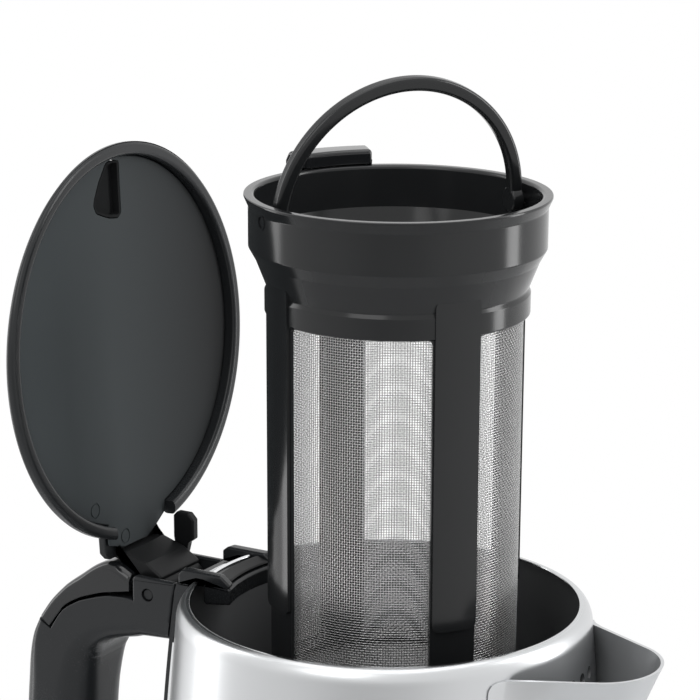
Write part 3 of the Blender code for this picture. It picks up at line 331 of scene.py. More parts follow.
class Network:
    """The nodes of one material, or of the world."""

    def __init__(self, tree):
        self.tree = tree

    def feed(self, socket, value):
        """Link a wire to a socket, or set the socket's own value."""
        if isinstance(value, Wire):
            self.tree.links.new(value.socket, socket)
        else:
            socket.default_value = value

    def node(self, kind, settings=None, sockets=None, output=0):
        """Add a node: its settings are set first, then its sockets get values or wires. Returns one of its outputs."""
        made = self.tree.nodes.new(kind)
        for name, value in (settings or {}).items():
            setattr(made, name, value)
        for name, value in (sockets or {}).items():
            self.feed(made.inputs[name], value)
        return Wire(self, made.outputs[output])


class Look(Network):
    """A material under construction: a network that ends in one Principled shader."""

    def __init__(self, name, colour, metallic=0.0, roughness=0.5, coat=0.0, ior=1.5):
        self.material = bpy.data.materials.new(name)
        self.material.use_nodes = True
        super().__init__(self.material.node_tree)
        self.shader = self.tree.nodes["Principled BSDF"]
        self.place = self.node("ShaderNodeTexCoord", output="Object")
        for socket, value in (("Base Color", (*colour, 1)), ("Metallic", metallic), ("Roughness", roughness),
                              ("Coat Weight", coat), ("Coat Roughness", 0.08), ("IOR", ior)):
            self.set(socket, value)

    def set(self, name, value):
        """Feed one of the shader's sockets with a wire or a constant."""
        self.feed(self.shader.inputs[name], value)

    def axis(self, number):
        """The piece's own x, y or z (0, 1 or 2)."""
        return self.node("ShaderNodeSeparateXYZ", None, {0: self.place}, number)

    def attribute(self, name):
        """A number stored on the mesh under a name."""
        return self.node("ShaderNodeAttribute", {"attribute_name": name}, None, "Fac")

    def noise(self, scale, stretch=(1, 1, 1), detail=2.0, rough=0.5):
        """Soft random grain, stretched along some of the axes."""
        place = self.node("ShaderNodeVectorMath", {"operation": "MULTIPLY"},
                          {0: self.place, 1: [scale * s for s in stretch]})
        return self.node("ShaderNodeTexNoise", None,
                         {"Vector": place, "Scale": 1.0, "Detail": detail, "Roughness": rough}, "Fac")

    def mix(self, share, first, second):
        """A colour between two colours, by a wire between 0 and 1."""
        return self.node("ShaderNodeMix", {"data_type": "RGBA"},
                         {"Factor": share, COLOUR_A: (*first, 1), COLOUR_B: (*second, 1)}, MIXED_COLOUR)

    def bump(self, wire, height, strength=0.35):
        """Tiny relief of a height in metres: a Bump node that feeds the shader's Normal."""
        self.set("Normal", self.node("ShaderNodeBump", None,
                                     {"Height": wire, "Distance": height, "Strength": strength}))


print("a wire can be added, subtracted and multiplied")

# %% [markdown]
# The steel is brushed around the jug: its grain is noise that changes almost ninety times faster up the jug than around
# it. Inside the jug and spout its colour carries painted shade. The plastics are nearly black. What tells most of them
# apart is how sharply they mirror the room, so each has its own roughness, and some have their own index of refraction,
# which sets how strongly a surface seen straight on reflects. One darker copy of the black satin is painted shade, and
# the lid's inner plate carries painted light in its colour.

# %% The finishes
def brushed_steel():
    """Satin steel brushed around the jug; where the attribute marks the inside, painted shade makes it darker, duller
    and less metallic.
    """
    # The second colour is painted shade: the jug's inner steel drawn darker where shade falls in it.
    outside, inside = (0.62, 0.63, 0.64), (0.145, 0.148, 0.151)
    look = Look("jug_steel", outside, 1.0, 0.30)
    brush = look.noise(1.0, (30, 30, 2600), 3.0, 0.6)
    cloud = look.noise(18.0)
    # Painted shade: where this number is 1 the steel turns darker, duller and not metallic.
    painted_shade = look.attribute("inside")
    look.set("Base Color", look.mix(painted_shade, outside, inside))
    look.set("Metallic", (1.0 - painted_shade).between(0.0, 1.0))
    look.set("Roughness", (0.22 + brush * 0.10 + cloud * 0.06 + painted_shade * 0.14).between(0.1, 0.6))
    look.bump(brush, 0.00002, 0.25)
    return look.material


def plastic(name, colour, roughness, grain, coat=0.0, ior=1.40):
    """Moulded plastic: a very fine grain in its shine, and a faint unevenness over the whole piece."""
    look = Look(name, colour, 0.0, roughness, coat, ior)
    fine, wide = look.noise(2400.0), look.noise(35.0)
    look.set("Base Color", look.mix(wide, colour, [1.25 * c for c in colour]))
    look.set("Roughness", (roughness - 0.06 + fine * 0.06 + wide * 0.06).between(0.04, 1.0))
    look.bump(fine, grain)
    return look.material


def plate_plastic():
    """The lid's flat inner plate: duller than the rest, and greyer toward the side that faces the user, which is
    painted light.
    """
    look = Look("plate_satin", (0.030, 0.033, 0.035), 0.0, 0.50, 0.0, 1.18)
    # Painted light: the colour grows greyer toward minus y, standing in for brighter light on that side.
    painted_light_share = (0.5 - look.axis(1) * 11.0).between(0.0, 1.0)
    look.set("Base Color", look.mix(painted_light_share, (0.022, 0.0228, 0.0235), (0.094, 0.107, 0.112)))
    look.bump(look.noise(2400.0), 0.00001)
    return look.material


def metal(name, colour, roughness, cloudy=0.0):
    """Bare metal: a fine grain in its shine, and with cloudy above 0 broad soft patches as well."""
    look = Look(name, colour, 1.0, roughness)
    look.set("Roughness", (roughness - 0.03 + look.noise(1500.0) * 0.06 + look.noise(60.0) * cloudy).between(0.03, 1.0))
    return look.material


LOOKS = {
    "steel": brushed_steel(),
    "bright": metal("bright_steel", (0.83, 0.84, 0.85), 0.09),
    "plain_steel": metal("plain_steel", (0.70, 0.71, 0.72), 0.24, 0.1),
    "wire": metal("woven_wire", (0.66, 0.66, 0.66), 0.20),
    "aluminium": metal("heater_aluminium", (0.72, 0.73, 0.74), 0.42, 0.1),
    "satin": plastic("black_satin", (0.021, 0.0225, 0.0240), 0.26, 0.000005, 0.0, 1.36),
    "plate": plate_plastic(),
    "moulding": plastic("black_moulding", (0.016, 0.0168, 0.0176), 0.17, 0.000004),
    "gloss": plastic("black_gloss", (0.013, 0.0138, 0.0150), 0.13, 0.000003, 0.3),
    "matte": plastic("black_matte", (0.015, 0.016, 0.017), 0.60, 0.00003),
    # A darker copy of the black satin for the hinge arm, hinge cap and saddle face: painted shade where they sit in
    # shadow.
    "arm": plastic("shaded_black_satin", (0.011, 0.0115, 0.012), 0.34, 0.000005, 0.0, 1.25),
    "pocket": plastic("pocket_matte", (0.020, 0.0205, 0.021), 0.80, 0.00001, 0.0, 1.10),
    "rubber": plastic("foot_rubber", (0.018, 0.018, 0.019), 0.78, 0.00004),
    "glass": plastic("display_glass", (0.008, 0.011, 0.014), 0.06, 0.0, 1.0),
    "board": plastic("board", (0.02, 0.12, 0.06), 0.45, 0.00002),
    "ceramic": plastic("sensor_ceramic", (0.62, 0.60, 0.55), 0.55, 0.00002),
}
print(len(LOOKS), "finishes ready")

# %% [markdown]
# ## The jug
#
# The body is one outline spun around the axis. It runs down the outside, around the lower edge and back up the inside,
# so the wall has a real thickness and the opening edge a real rounded lip. The steel looks bright outside and nearly
# black inside, where shade falls, and that shade is painted: a number stored at every corner of every face, called
# `inside`, tells the material which side it is on: 1 inside, where it paints shade, 0 outside, and -1 on the opening's
# polished edge, where it takes away from the roughness.

# %% Jug body, with the strainer holes behind the spout
FLOOR_BEND = 0.006
SPOUT_TOP, HOLE_R, HOLE_PITCH = -0.0055, 0.0017, 0.0062


def jug_outline():
    """Radius and height of the steel's outline: the inside is the outside moved in by the steel's thickness."""
    lean = np.linspace(0, np.pi / 2, 14)[:-1]
    down = SHOULDER_DROP + (BODY_H - SHOULDER_DROP) * np.linspace(0, 1, 46) ** 1.4
    r = np.concatenate([RIM_R + (SHOULDER_R - RIM_R) * np.sin(lean), wall_r(-down - 1e-9)])
    z = np.concatenate([-SHOULDER_DROP * (1 - np.cos(lean)), -down])
    outer = np.stack([r, z], 1)
    step = np.gradient(outer, axis=0)
    normal = np.stack([step[:, 1], -step[:, 0]], 1)
    normal /= np.linalg.norm(normal, axis=1)[:, None]
    inner = outer + normal * STEEL_T
    inner = inner[(inner[:, 1] > -JUG_DEPTH + FLOOR_BEND) & (inner[:, 1] < -0.0004)]
    floor_r = float(wall_r(-JUG_DEPTH)) - STEEL_T
    bend = np.linspace(0, np.pi / 2, 8)
    floor = np.stack([floor_r - FLOOR_BEND * (1 - np.sin(bend)), -JUG_DEPTH + FLOOR_BEND * (1 - np.cos(bend))], 1)
    lip = [(RIM_R - STEEL_T, -0.0003), (RIM_R - STEEL_T * 0.85, -0.00005), (RIM_R - STEEL_T * 0.5, 0.0)]
    foot = [(floor_r, -BODY_H), (floor_r, -JUG_DEPTH - STEEL_T), (0, -JUG_DEPTH - STEEL_T)]
    return [(0, -JUG_DEPTH)] + floor.tolist() + inner[::-1].tolist() + lip + outer[1:].tolist() + foot


def mark_inside(thing, test):
    """Store at the face corners what a test of all the faces' middles and normals says, as the number `inside`."""
    faces = thing.data.polygons
    middles, normals = np.zeros(3 * len(faces), np.float32), np.zeros(3 * len(faces), np.float32)
    corners = np.zeros(len(faces), np.int32)
    for name, values in (("center", middles), ("normal", normals), ("loop_total", corners)):
        faces.foreach_get(name, values)
    marks = test(middles.reshape(-1, 3) - [AX, 0, RIM], normals.reshape(-1, 3))
    stored = thing.data.attributes.new("inside", "FLOAT", "CORNER")
    stored.data.foreach_set("value", np.repeat(marks, corners).astype(np.float32))


def jug_shade_and_edge(c, n):
    """1 (painted shade) where a face looks toward the axis or up from the floor, -1 on the opening's polished edge, 0
    elsewhere.
    """
    away = np.hypot(c[:, 0], c[:, 1])
    dull = (n[:, 0] * c[:, 0] + n[:, 1] * c[:, 1] < -1e-5) | ((n[:, 2] > 0.5) & (away < RIM_R * 0.8))
    dull &= (c[:, 2] > -JUG_DEPTH - 0.0001) & (c[:, 2] < -0.0003)
    return np.where((c[:, 2] > -0.0003) & (away < RIM_R + 0.0002), -1.0, dull)


jug = mesh_object("jug_body_fine", turned(jug_outline(), 224))
holes = []
for row, count in enumerate((5, 4, 5)):
    z = SPOUT_TOP - HOLE_PITCH * (row + 1.4)
    wall = float(wall_r(z))
    turns = (np.arange(count) - (count - 1) / 2) * HOLE_PITCH / wall
    holes += [mesh_object("hole", spoke(HOLE_R, wall - 0.003, wall + 0.003, turn, z, count=20)) for turn in turns]
carve(jug, holes)
mark_inside(jug, jug_shade_and_edge)
dress(jug, LOOKS["steel"], "jug", ["jug_body"])
print("jug body:", len(jug.data.polygons), "faces")

# %% [markdown]
# The spout is a beak of sheet steel. At every height the sheet lies flat against the jug for a few millimetres, folds,
# runs straight to the nose, and comes back the same way; the whole shape narrows on its way down. Its hollow side gets
# most of the `inside` number too, which paints shade there: darker and duller steel than its outside.

# %% Spout
SPOUT_FALL, SHEET, LAP, TIP_X = 0.056, 0.0009, 0.0030, 0.0809
HALF_TOP, HALF_END, NOSE_TOP, NOSE_END = 0.0246, 0.0036, 0.0165, 0.0024


def beak(z, half, lap_end, reach, nose, outside):
    """Points of the sheet's outer or inner face at one height, from its near end round the nose to its far end."""
    wall = float(wall_r(z))
    reach, nose, half = (reach + SHEET, nose + SHEET, half + SHEET) if outside else (reach, nose, half)
    t = np.linspace(0, 1, 8)
    turn = math.asin(lap_end / wall) * (1 - t) + math.asin(half / wall) * t
    away = wall + (0.00045 + (SHEET - 0.0004) * t ** 2 if outside else -0.0002 + 0 * t)
    lap = np.stack([away * np.cos(turn), away * np.sin(turn)], 1)
    start, middle = lap[-1, 0], reach - nose
    span = math.hypot(middle - start, half)
    slope = math.atan2(-half, middle - start) + math.asin(min(0.999, nose / span))
    length, normal = math.sqrt(max(0, span ** 2 - nose ** 2)), slope + math.pi / 2
    s = np.linspace(0, 1, 10)[1:-1]
    straight = np.stack([start + length * s * math.cos(slope), half + length * s * math.sin(slope)], 1)
    a = np.linspace(normal, -normal, 33)
    arc = np.stack([middle + nose * np.cos(a), nose * np.sin(a)], 1)
    near = np.vstack([lap, straight])
    return np.vstack([near, arc, near[::-1] * [1, -1]])


rings = []
for share in np.concatenate([np.linspace(0, 0.045, 12), np.linspace(0.06, 1, 50)]):
    z = SPOUT_TOP - SPOUT_FALL * share
    wide = HALF_TOP + 0.0030 * math.sin(min(1, share * 4) * math.pi / 2)
    half = HALF_END + (wide - HALF_END) * (1 - share ** 1.6)
    corner = math.sqrt(1 - (1 - min(1, share / 0.045)) ** 2)
    lap_end = half + LAP * (1 - share) + 0.0022 * corner
    start = float(wall_r(z)) + 0.0022
    reach = start + (TIP_X - SHEET - start) * (1 - share) ** 1.15
    nose = NOSE_END + (NOSE_TOP - NOSE_END) * (1 - share)
    rings.append(np.vstack([top_view(beak(z, half, lap_end, reach, nose, True), z),
                            top_view(beak(z, half, lap_end, reach, nose, False)[::-1], z)]))
spout = mesh_object("spout_fine", lofted(rings))
# Painted shade: faces of the hollow side get 0.75 of the `inside` number.
mark_inside(spout, lambda c, n: np.where((n[:, 1] * c[:, 1] < -1e-5) | (n[:, 0] < -0.3), 0.75, 0.0))
dress(spout, LOOKS["steel"], "jug", ["spout"])
print("spout:", len(spout.data.polygons), "faces")

# %% [markdown]
# ## The handle
#
# The grip is a rounded bar whose cross-section is carried along a D-shaped path. Two smooth curves, one along the
# inside of the hand and one along its back, guide it. Their upper points were read off the photograph, in
# millimetres, and the lower ones, which it doesn't show, carry the curve on. The cheeks that carry the hinge are
# welded on afterwards.

# %% Guide lines and the rounded bar
STRIP_RIM, STRIP_SHOULDER, STRIP_BELLY, STRIP_BEND = 0.0553, 0.0595, 0.0684, 3.35


def strip_face(z):
    """Distance from the jug's axis to the strip's flat front."""
    return barrel_r(z, STRIP_RIM, STRIP_SHOULDER, STRIP_BELLY, STRIP_BEND)


# Inner point, outer point and rounding of the two edges at places around the grip, in millimetres
GRIP = (((-70.4, -20.4), (-70.4, -12.6), (4.3, 0.4)), ((-74.5, -21.6), (-73.8, -9.5), (4.7, 0.4)),
        ((-79.0, -22.7), (-80.3, -9.6), (4.9, 0.4)), ((-82.7, -23.9), (-84.3, -10.4), (5.2, 0.4)),
        ((-85.6, -25.5), (-88.3, -11.7), (5.7, 0.4)), ((-87.5, -27.3), (-92.3, -13.3), (6.5, 0.4)),
        ((-88.8, -29.3), (-97.5, -16.8), (7.2, 0.4)), ((-89.6, -31.2), (-101.9, -22.9), (7.8, 0.5)),
        ((-89.9, -32.0), (-106.0, -20.6), (8.0, 1.6)), ((-90.5, -34.6), (-108.9, -25.9), (8.4, 2.8)),
        ((-91.2, -39.0), (-111.1, -32.2), (9.0, 4.6)), ((-91.8, -44.0), (-112.6, -40.2), (9.5, 6.0)),
        ((-92.6, -52.0), (-113.4, -50.0), (9.5, 6.0)), ((-93.6, -66.0), (-113.9, -66.0), (9.5, 6.0)),
        ((-94.3, -85.0), (-114.5, -90.0), (9.5, 6.0)), ((-94.6, -103.0), (-114.5, -108.0), (9.5, 6.0)),
        ((-93.9, -118.0), (-113.0, -124.5), (9.5, 6.0)), ((-91.0, -129.5), (-108.8, -138.5), (9.0, 6.0)),
        ((-84.5, -136.3), (-99.0, -148.6), (8.1, 6.0)), ((-76.5, -138.6), (-85.0, -153.4), (7.1, 5.4)))


def guides(first, last, steps):
    """Smooth inner and outer guide lines and edge radii through the places above; the step at the button is sharp."""
    inner = [first[0]] + [np.array(a) / 1000 for a, b, r in GRIP] + [last[0]]
    outer = [first[1]] + [np.array(b) / 1000 for a, b, r in GRIP] + [last[1]]
    radii = [GRIP[0][2]] + [r for a, b, r in GRIP] + [GRIP[-1][2]]
    inner, outer, radii = np.array(inner), np.array(outer), np.array(radii) / 1000
    rows = []
    for part in (slice(0, 9), slice(8, 10), slice(9, len(inner))):
        count = (part.stop - part.start - 1) * steps + 1
        line = [smooth_line(column[part], count) for column in (inner, outer, radii)]
        rows.append(np.hstack(line) if not rows else np.hstack(line)[1:])
    rows = np.vstack(rows)
    return rows[:, 0:2], rows[:, 2:4], rows[:, 4], rows[:, 5]


def rounded_bar(inner, outer, radii_in, radii_out, half):
    """Carry a rounded cross-section between two guide lines, with its own corner radii at every station."""
    rings = []
    for (xi, zi), (xo, zo), r_in, r_out in zip(inner, outer, radii_in, radii_out):
        length = math.hypot(xo - xi, zo - zi)
        r_in, r_out = min(r_in, length * 0.62), min(r_out, length * 0.36)
        across = soften([(0, -half), (length, -half), (length, half), (0, half)], [r_in, r_out, r_out, r_in], 7)
        ux, uz = (xo - xi) / length, (zo - zi) / length
        rings.append(np.stack([xi + ux * across[:, 0], across[:, 1], zi + uz * across[:, 0]], 1))
    return rings


print("strip front %.1f mm from the axis at the rim" % (1000 * strip_face(0)))

# %% Grip, cheeks and pin hole
first = ((-strip_face(-0.0195) - GAP, -0.0195), (-strip_face(-0.0140) - GAP, -0.0140))
end_z = -GRIP_DROP * 0.9026
last = ((-strip_face(end_z) - GAP, end_z), (-strip_face(-GRIP_DROP) - GAP, -GRIP_DROP))
grip = mesh_object("handle_grip_fine", lofted(rounded_bar(*guides(first, last, 8), HANDLE_HALF)), sharp=50)
cheek = [(-0.0733, -0.0033), (-0.0726, -0.0022), (-strip_face(-0.0022) - GAP, -0.0022),
         (-strip_face(-0.0066) - GAP, -0.0066), (-strip_face(-0.0152) - GAP, -0.0152), (-0.0733, -0.0152)]
cheek = soften(cheek, [0.0005, 0.0012, 0.0006, 0.004, 0.0005, 0.0005], 4)
sides = [mesh_object("cheek", slab(cheek, low, high, 0.0007, side_view))
         for low, high in ((0.0108, 0.01299), (-0.01299, -0.0108))]
carve(grip, sides, "UNION", 40)
pin_hole = lofted([side_view(ring_of(0.0019, 28, (HINGE_X, HINGE_Z)), y) for y in (-0.016, 0.016)])
carve(grip, [mesh_object("hole", pin_hole)], "DIFFERENCE", 40)
dress(grip, LOOKS["satin"], "jug", ["handle_grip"])
pin = slab(ring_of(0.0016, 28, (HINGE_X, HINGE_Z)), -0.0126, 0.0126, 0.0004, side_view)
dress(mesh_object("hinge_pin_fine", pin), LOOKS["matte"], "jug", ["hinge_pin"])
print("grip:", len(grip.data.polygons), "faces")

# %% [markdown]
# A flat strip stands between grip and jug, and a bright edge shows beside it. Both are thin bars that follow the
# jug's outline. The button lies on top of the grip, and its curve continues the grip's own. At the far side of the
# hinge a fixed cap rises above the rim.

# %% Strip down the jug's back, and its bright edge
TRIM_TOP, STRIP_LOW = -0.0170, -GRIP_DROP - 0.0028


def strip(half, back, front, low, high, round_by, count=40):
    """A strip between two surfaces, front edges rounded: back(z, y) and front(z, y) say how far out they lie."""
    y = np.linspace(-half, half, 17)
    past = ((np.abs(y) - half + round_by) / round_by).clip(0, 1)
    blunt = round_by * (1 - np.sqrt(1 - past ** 2))
    rings = []
    for z in np.linspace(low, high, count):
        rear, face = -back(z, y), blunt - front(z, y)
        rings.append(np.stack([np.concatenate([rear, face[::-1]]), np.concatenate([y, y[::-1]]), np.full(34, z)], 1))
    return lofted(rings)


def on_jug(z, y):
    """How far out the jug's round wall lies at a distance y from its middle, plus a gap."""
    return np.sqrt((float(wall_r(z)) + GAP) ** 2 - y ** 2)


def strip_back(z, y):
    """The strip's back lies on the jug near the rim; lower down the bright edge lies between them."""
    return on_jug(z, y) if z > TRIM_TOP + 0.0003 else strip_face(z) - 0.0016 + 0 * y


body = strip(HANDLE_HALF, strip_back, lambda z, y: strip_face(z) + 0 * y, STRIP_LOW, -0.0022, 0.0003, 80)
dress(mesh_object("handle_strip_fine", body), LOOKS["satin"], "jug", ["handle_strip"])
body = strip(HANDLE_HALF + 0.0006, on_jug, lambda z, y: strip_face(z) - 0.0017 + 0 * y, STRIP_LOW, TRIM_TOP - 0.0022,
             0.0002)
dress(mesh_object("handle_trim_fine", body), LOOKS["bright"], "jug", ["handle_trim"])
print("strip from %.0f to 2 mm below the rim" % (-1000 * STRIP_LOW))

# %% Release button and hinge cap
crown = [(-74.28, -3.08), (-74.67, -2.31), (-78.6, -0.4), (-82.3, 0.0), (-86.5, -1.8), (-91.3, -5.2), (-95.5, -8.3),
         (-97.8, -10.3), (-101.95, -14.75), (-105.4, -19.6)]
under = [(-74.4, -7.2), (-80.3, -8.4), (-84.3, -9.35), (-88.3, -10.75), (-92.3, -12.4), (-96.5, -15.1), (-98.6, -17.6),
         (-102.1, -22.2)]
crown, under = (smooth_line(np.array(line) / 1000, 61) for line in (crown, under))
rings = rounded_bar(under, crown, np.full(61, 0.0004), np.full(61, 0.0024), HANDLE_HALF)
button = mesh_object("release_button_fine", lofted(rings), sharp=50)
dress(button, LOOKS["gloss"], "release_button", ["release_button"])
cap = soften([(-0.0745, -0.0019), (-0.0747, 0.0014), (-0.0749, 0.0026), (-0.0749, 0.0088), (-0.0738, 0.0100),
              (-0.0698, 0.0100), (-0.0681, 0.0082), (-0.0681, 0.0026), (-0.0700, 0.0012), (-0.0708, -0.0019)],
             [0.0003, 0.0005, 0.0006, 0.0007, 0.0007, 0.0007, 0.0007, 0.0006, 0.0005, 0.0003], 4)
cap = slab(cap, 0.0103, HANDLE_HALF, 0.0006, side_view)
# The cap takes the darker copy of the black satin: painted shade.
dress(mesh_object("hinge_cap_fine", cap), LOOKS["arm"], "jug", ["hinge_cap"])
print("button:", len(button.data.polygons), "faces")

# %% [markdown]
# ## Saddle at the hinge
#
# A black saddle hooks over the steel rim. Its profile is drawn as radius and height and carried sideways, with every
# point kept at its own radius, so the inner edge is an arc around the jug's axis, as in the photograph. Two blocks
# stand at its ends and reach down to the strip; a darker face and a bright bar lie between them. The face's darkness is
# painted shade: it takes the darker copy of the black satin.

# %% Saddle, dark face and bright bar
SADDLE_R = 0.0512


def around(outline, low, high, edge, between=12):
    """Carry a (radius, height) outline sideways from y = low to y = high, its ends rounded."""
    rings = []
    for y, shrink in rounded_ends(low, high, edge, between):
        shape = inset(outline, shrink)
        rings.append(np.stack([-np.sqrt(shape[:, 0] ** 2 - y ** 2), np.full(len(shape), y), shape[:, 1]], 1))
    return lofted(rings)


hook = soften([(SADDLE_R, -0.0003), (SADDLE_R, -0.0065), (0.0426, -0.0052), (0.0426, -0.0008), (0.0434, -0.0003)],
              [0.0003, 0.001, 0.0012, 0.0006, 0.0006], 4)
saddle = mesh_object("lid_saddle_fine", around(hook, -0.0135, 0.0135, 0.0008))
block = [(SADDLE_R, -0.00125), (0.0434, -0.00125), (0.04285, 0.00025), (0.0457, 0.0025), (0.0576, 0.0025),
         (0.0592, 0.0012), (0.0592, -0.0019), (0.0562, -0.0019), (0.0557, -0.0009), (0.0534, GAP), (SADDLE_R, GAP)]
block = soften(block, [0.0001, 0.0003, 0.0006, 0.0012, 0.0012, 0.0008, 0.0003, 0.0003, 0.0004, 0.0002, 0.0001], 4)
blocks = [mesh_object("block", around(block, low, high, 0.0006, 2))
          for low, high in ((-0.0134, -0.0101), (0.0101, 0.0134))]
carve(saddle, blocks, "UNION", 35)
dress(saddle, LOOKS["satin"], "jug", ["lid_saddle"])
face = soften([(0.0434, GAP), (0.0441, 0.0008), (0.0475, 0.0019), (0.0475, GAP)], 0.0003, 3)
face = mesh_object("saddle_face_fine", around(face, -0.0098, 0.0098, 0.0003))
# Painted shade: the face takes the darker copy of the black satin.
dress(face, LOOKS["arm"], "jug", ["saddle_face"])
bar = around(ring_of(0.0006, 20, (SADDLE_R - 0.0012, GAP + 0.0008)), -0.0098, 0.0098, 0.0003)
dress(mesh_object("saddle_bar_fine", bar), LOOKS["bright"], "jug", ["saddle_bar"])
print("saddle:", len(saddle.data.polygons), "faces")

# %% [markdown]
# ## The lid
#
# The lid is modelled closed, where its sizes are easy to read, and each point is then turned open about the hinge. Its
# inside shows a raised rim, a recessed flat plate with small moulding marks, and a pocket for the latch. The cover is a
# turned piece whose outer edge is then tilted into a wedge: thinner toward the spout and thicker toward the hinge.

# %% Lid cover
LID_R, BAND, LID_T, PLATE_T = 0.0547, 0.0036, 0.0075, 0.0009
BEVEL_R, WEDGE = 0.0466, 0.0012
plate_z = GAP + 0.0032
roof = plate_z + PLATE_T + GAP
in_band = LID_R - BAND


def lid_object(name, body):
    """A mesh object of a lid piece: its points, drawn for the closed lid, are turned open about the hinge."""
    verts, faces = body
    c, s = math.cos(-LID_OPEN), math.sin(-LID_OPEN)
    x, z = verts[:, 0] - HINGE_X, verts[:, 2] - HINGE_Z
    return mesh_object(name, (np.stack([HINGE_X + x * c + z * s, verts[:, 1], HINGE_Z - x * s + z * c], 1), faces))


outline = soften([(0.0, roof), (in_band, roof), (in_band, GAP), (LID_R, GAP), (LID_R, GAP + 0.0026), (BEVEL_R, LID_T),
                  (0.0, LID_T)], [0, 0, 0.0012, 0.0013, 0.0016, 0.0030, 0], 6)
verts, faces = turned(outline, 224)
edge_share = np.clip((np.hypot(verts[:, 0], verts[:, 1]) - BEVEL_R) / (LID_R - BEVEL_R), 0, 1)
upper = (verts[:, 2] > GAP + 0.0014) & (np.abs(verts[:, 2] - roof) > 1e-6)
verts[:, 2] -= WEDGE * verts[:, 0] / LID_R * edge_share * upper
lid = lid_object("lid_cover_fine", (verts, faces))
print("lid cover, before its cuts:", len(lid.data.polygons), "faces")

# %% [markdown]
# The curved arm that holds the hinge pin is a piece of its own, set into the cover. Welding the two would leave long
# thin slivers where they cross, which catch the light badly. The arm takes a darker copy of the cover's black satin,
# which is painted shade. The ear behind the arm is welded to the cover.

# %% Hinge arm and ear
KNUCKLE_R = 0.0044
ceiling_share = (roof + 0.0002 - HINGE_Z) / KNUCKLE_R
shares = ((0.91, -0.80), (1.82, 0.45), (2.09, 1.18), (2.39, 1.95), (2.39, ceiling_share), (3.70, ceiling_share),
          (3.70, 3.20), (2.05, 3.20), (1.91, 2.73), (1.48, 1.41), (0.98, 1.05), (-0.2, 0.80))
arm = soften([(HINGE_X + KNUCKLE_R * u, HINGE_Z + KNUCKLE_R * v) for u, v in shares],
             [0.001, 0.001, 0.001, 0.001, 0.0003, 0.0003, 0.0003, 0.0012, 0.001, 0.001, 0.001, 0.0005], 4)
arm = lid_object("lid_arm_fine", slab(arm, -0.0097, 0.0097, 0.0006, side_view))
ear = soften([(-0.0594, -0.0090), (-0.0594, -0.0125), (-0.0574, -0.0145), (-0.0462, -0.0145), (-0.0462, -0.0090)],
             [0.0003, 0.0008, 0.0008, 0.0003, 0.0003], 4)
ear = slab(ear, roof + 0.0001, HINGE_Z + KNUCKLE_R * 3.25 - 0.0001, 0.0005, top_view)
carve(lid, [lid_object("ear", ear)], "UNION", 35)
knuckle = slab(ring_of(KNUCKLE_R, 48, (HINGE_X, HINGE_Z)), -0.0094, 0.0094, 0.0005, side_view)
carve(arm, [lid_object("knuckle", knuckle)], "UNION", 35)
carve(arm, [lid_object("cut", pin_hole)], "DIFFERENCE", 35)
# Painted shade: the arm takes the darker copy of the black satin.
dress(arm, LOOKS["arm"], "lid", ["lid_cover"])
print("arm:", len(arm.data.polygons), "faces")

# %% [markdown]
# The latch pocket is one outline, drawn in millimetres and used four times: larger as the hole in cover and plate,
# a little smaller as the outside of the tray, and as it is for the tray's hollow.

# %% Cuts in the cover: notch for the arm and latch pocket
POCKET = 0.001 * np.array([(49.1, 2.4), (49.3, 0.0), (48.9, -2.3), (44.6, -5.9), (40.6, -8.3), (39.1, -8.9),
                           (37.6, -8.2), (36.3, -4.9), (35.5, -2.4), (35.0, 1.2), (35.5, 1.9), (42.0, 2.1)])


def pocket_body(by, radius, low, high):
    """The pocket's outline, grown by a margin and softened, from a low to a high level."""
    shape = soften(inset(POCKET, -by), [radius * 0.4] + [radius] * 11, 4)
    return lofted([top_view(shape, z) for z in (low, high)])


notch_r, notch_top = -in_band * 0.9, roof - 0.00003
notch = soften([(-0.0567, -0.002), (-0.0567, notch_top), (notch_r, notch_top), (notch_r, -0.002)], 0.0002, 2)
carve(lid, [lid_object("cut", slab(notch, -0.0142, 0.0142, 0.0003, side_view)),
            lid_object("cut", pocket_body(0.0010, 0.0016, 0, LID_T - 0.0008))], "DIFFERENCE", 35)
dress(lid, LOOKS["satin"], "lid", ["lid_cover"])
print("lid cover:", len(lid.data.polygons), "faces")

# %% [markdown]
# The inner plate is a thin disc with a tongue toward the hinge. Two shallow rings, as an ejector leaves them in a
# moulding, are cut into its face. The tray closes the pocket, and a steel disc covers the lid's top.

# %% Inner plate with moulding marks
MARKS = ((-0.0433, -0.0196), (-0.0540, -0.0064))
plate_r, plate_top = in_band - GAP, plate_z + PLATE_T
outline = [(0.0, plate_z), (plate_r, plate_z), (plate_r, plate_top), (0.0, plate_top)]
outline = soften(outline, [0, 0.0004, 0.0003, 0], 3)
plate = lid_object("lid_plate_fine", turned(outline, 224))
tongue = soften([(-0.0463, 0.0139), (-0.0518, 0.0139), (-0.0547, 0.0090), (-0.0569, 0.0042), (-0.0569, -0.0070),
                 (-0.0549, -0.0139), (-0.0463, -0.0139)], [0.0002, 0.0003, 0.002, 0.002, 0.001, 0.001, 0.0002], 4)
carve(plate, [lid_object("tongue", slab(tongue, plate_z + 0.00003, plate_z + 0.0008, 0.0002, top_view))], "UNION", 30)
cuts = [lid_object("cut", pocket_body(0.0010, 0.0016, 0, roof))]
groove = turned([(0.0017, -0.001), (0.0022, -0.001), (0.0022, plate_z + 0.00025), (0.0017, plate_z + 0.00025)], 40)
cuts += [lid_object("cut", (groove[0] + [x, y, 0], groove[1])) for x, y in MARKS]
carve(plate, cuts, "DIFFERENCE", 30)
dress(plate, LOOKS["plate"], "lid", ["lid_inner_plate"])
print("plate:", len(plate.data.polygons), "faces")

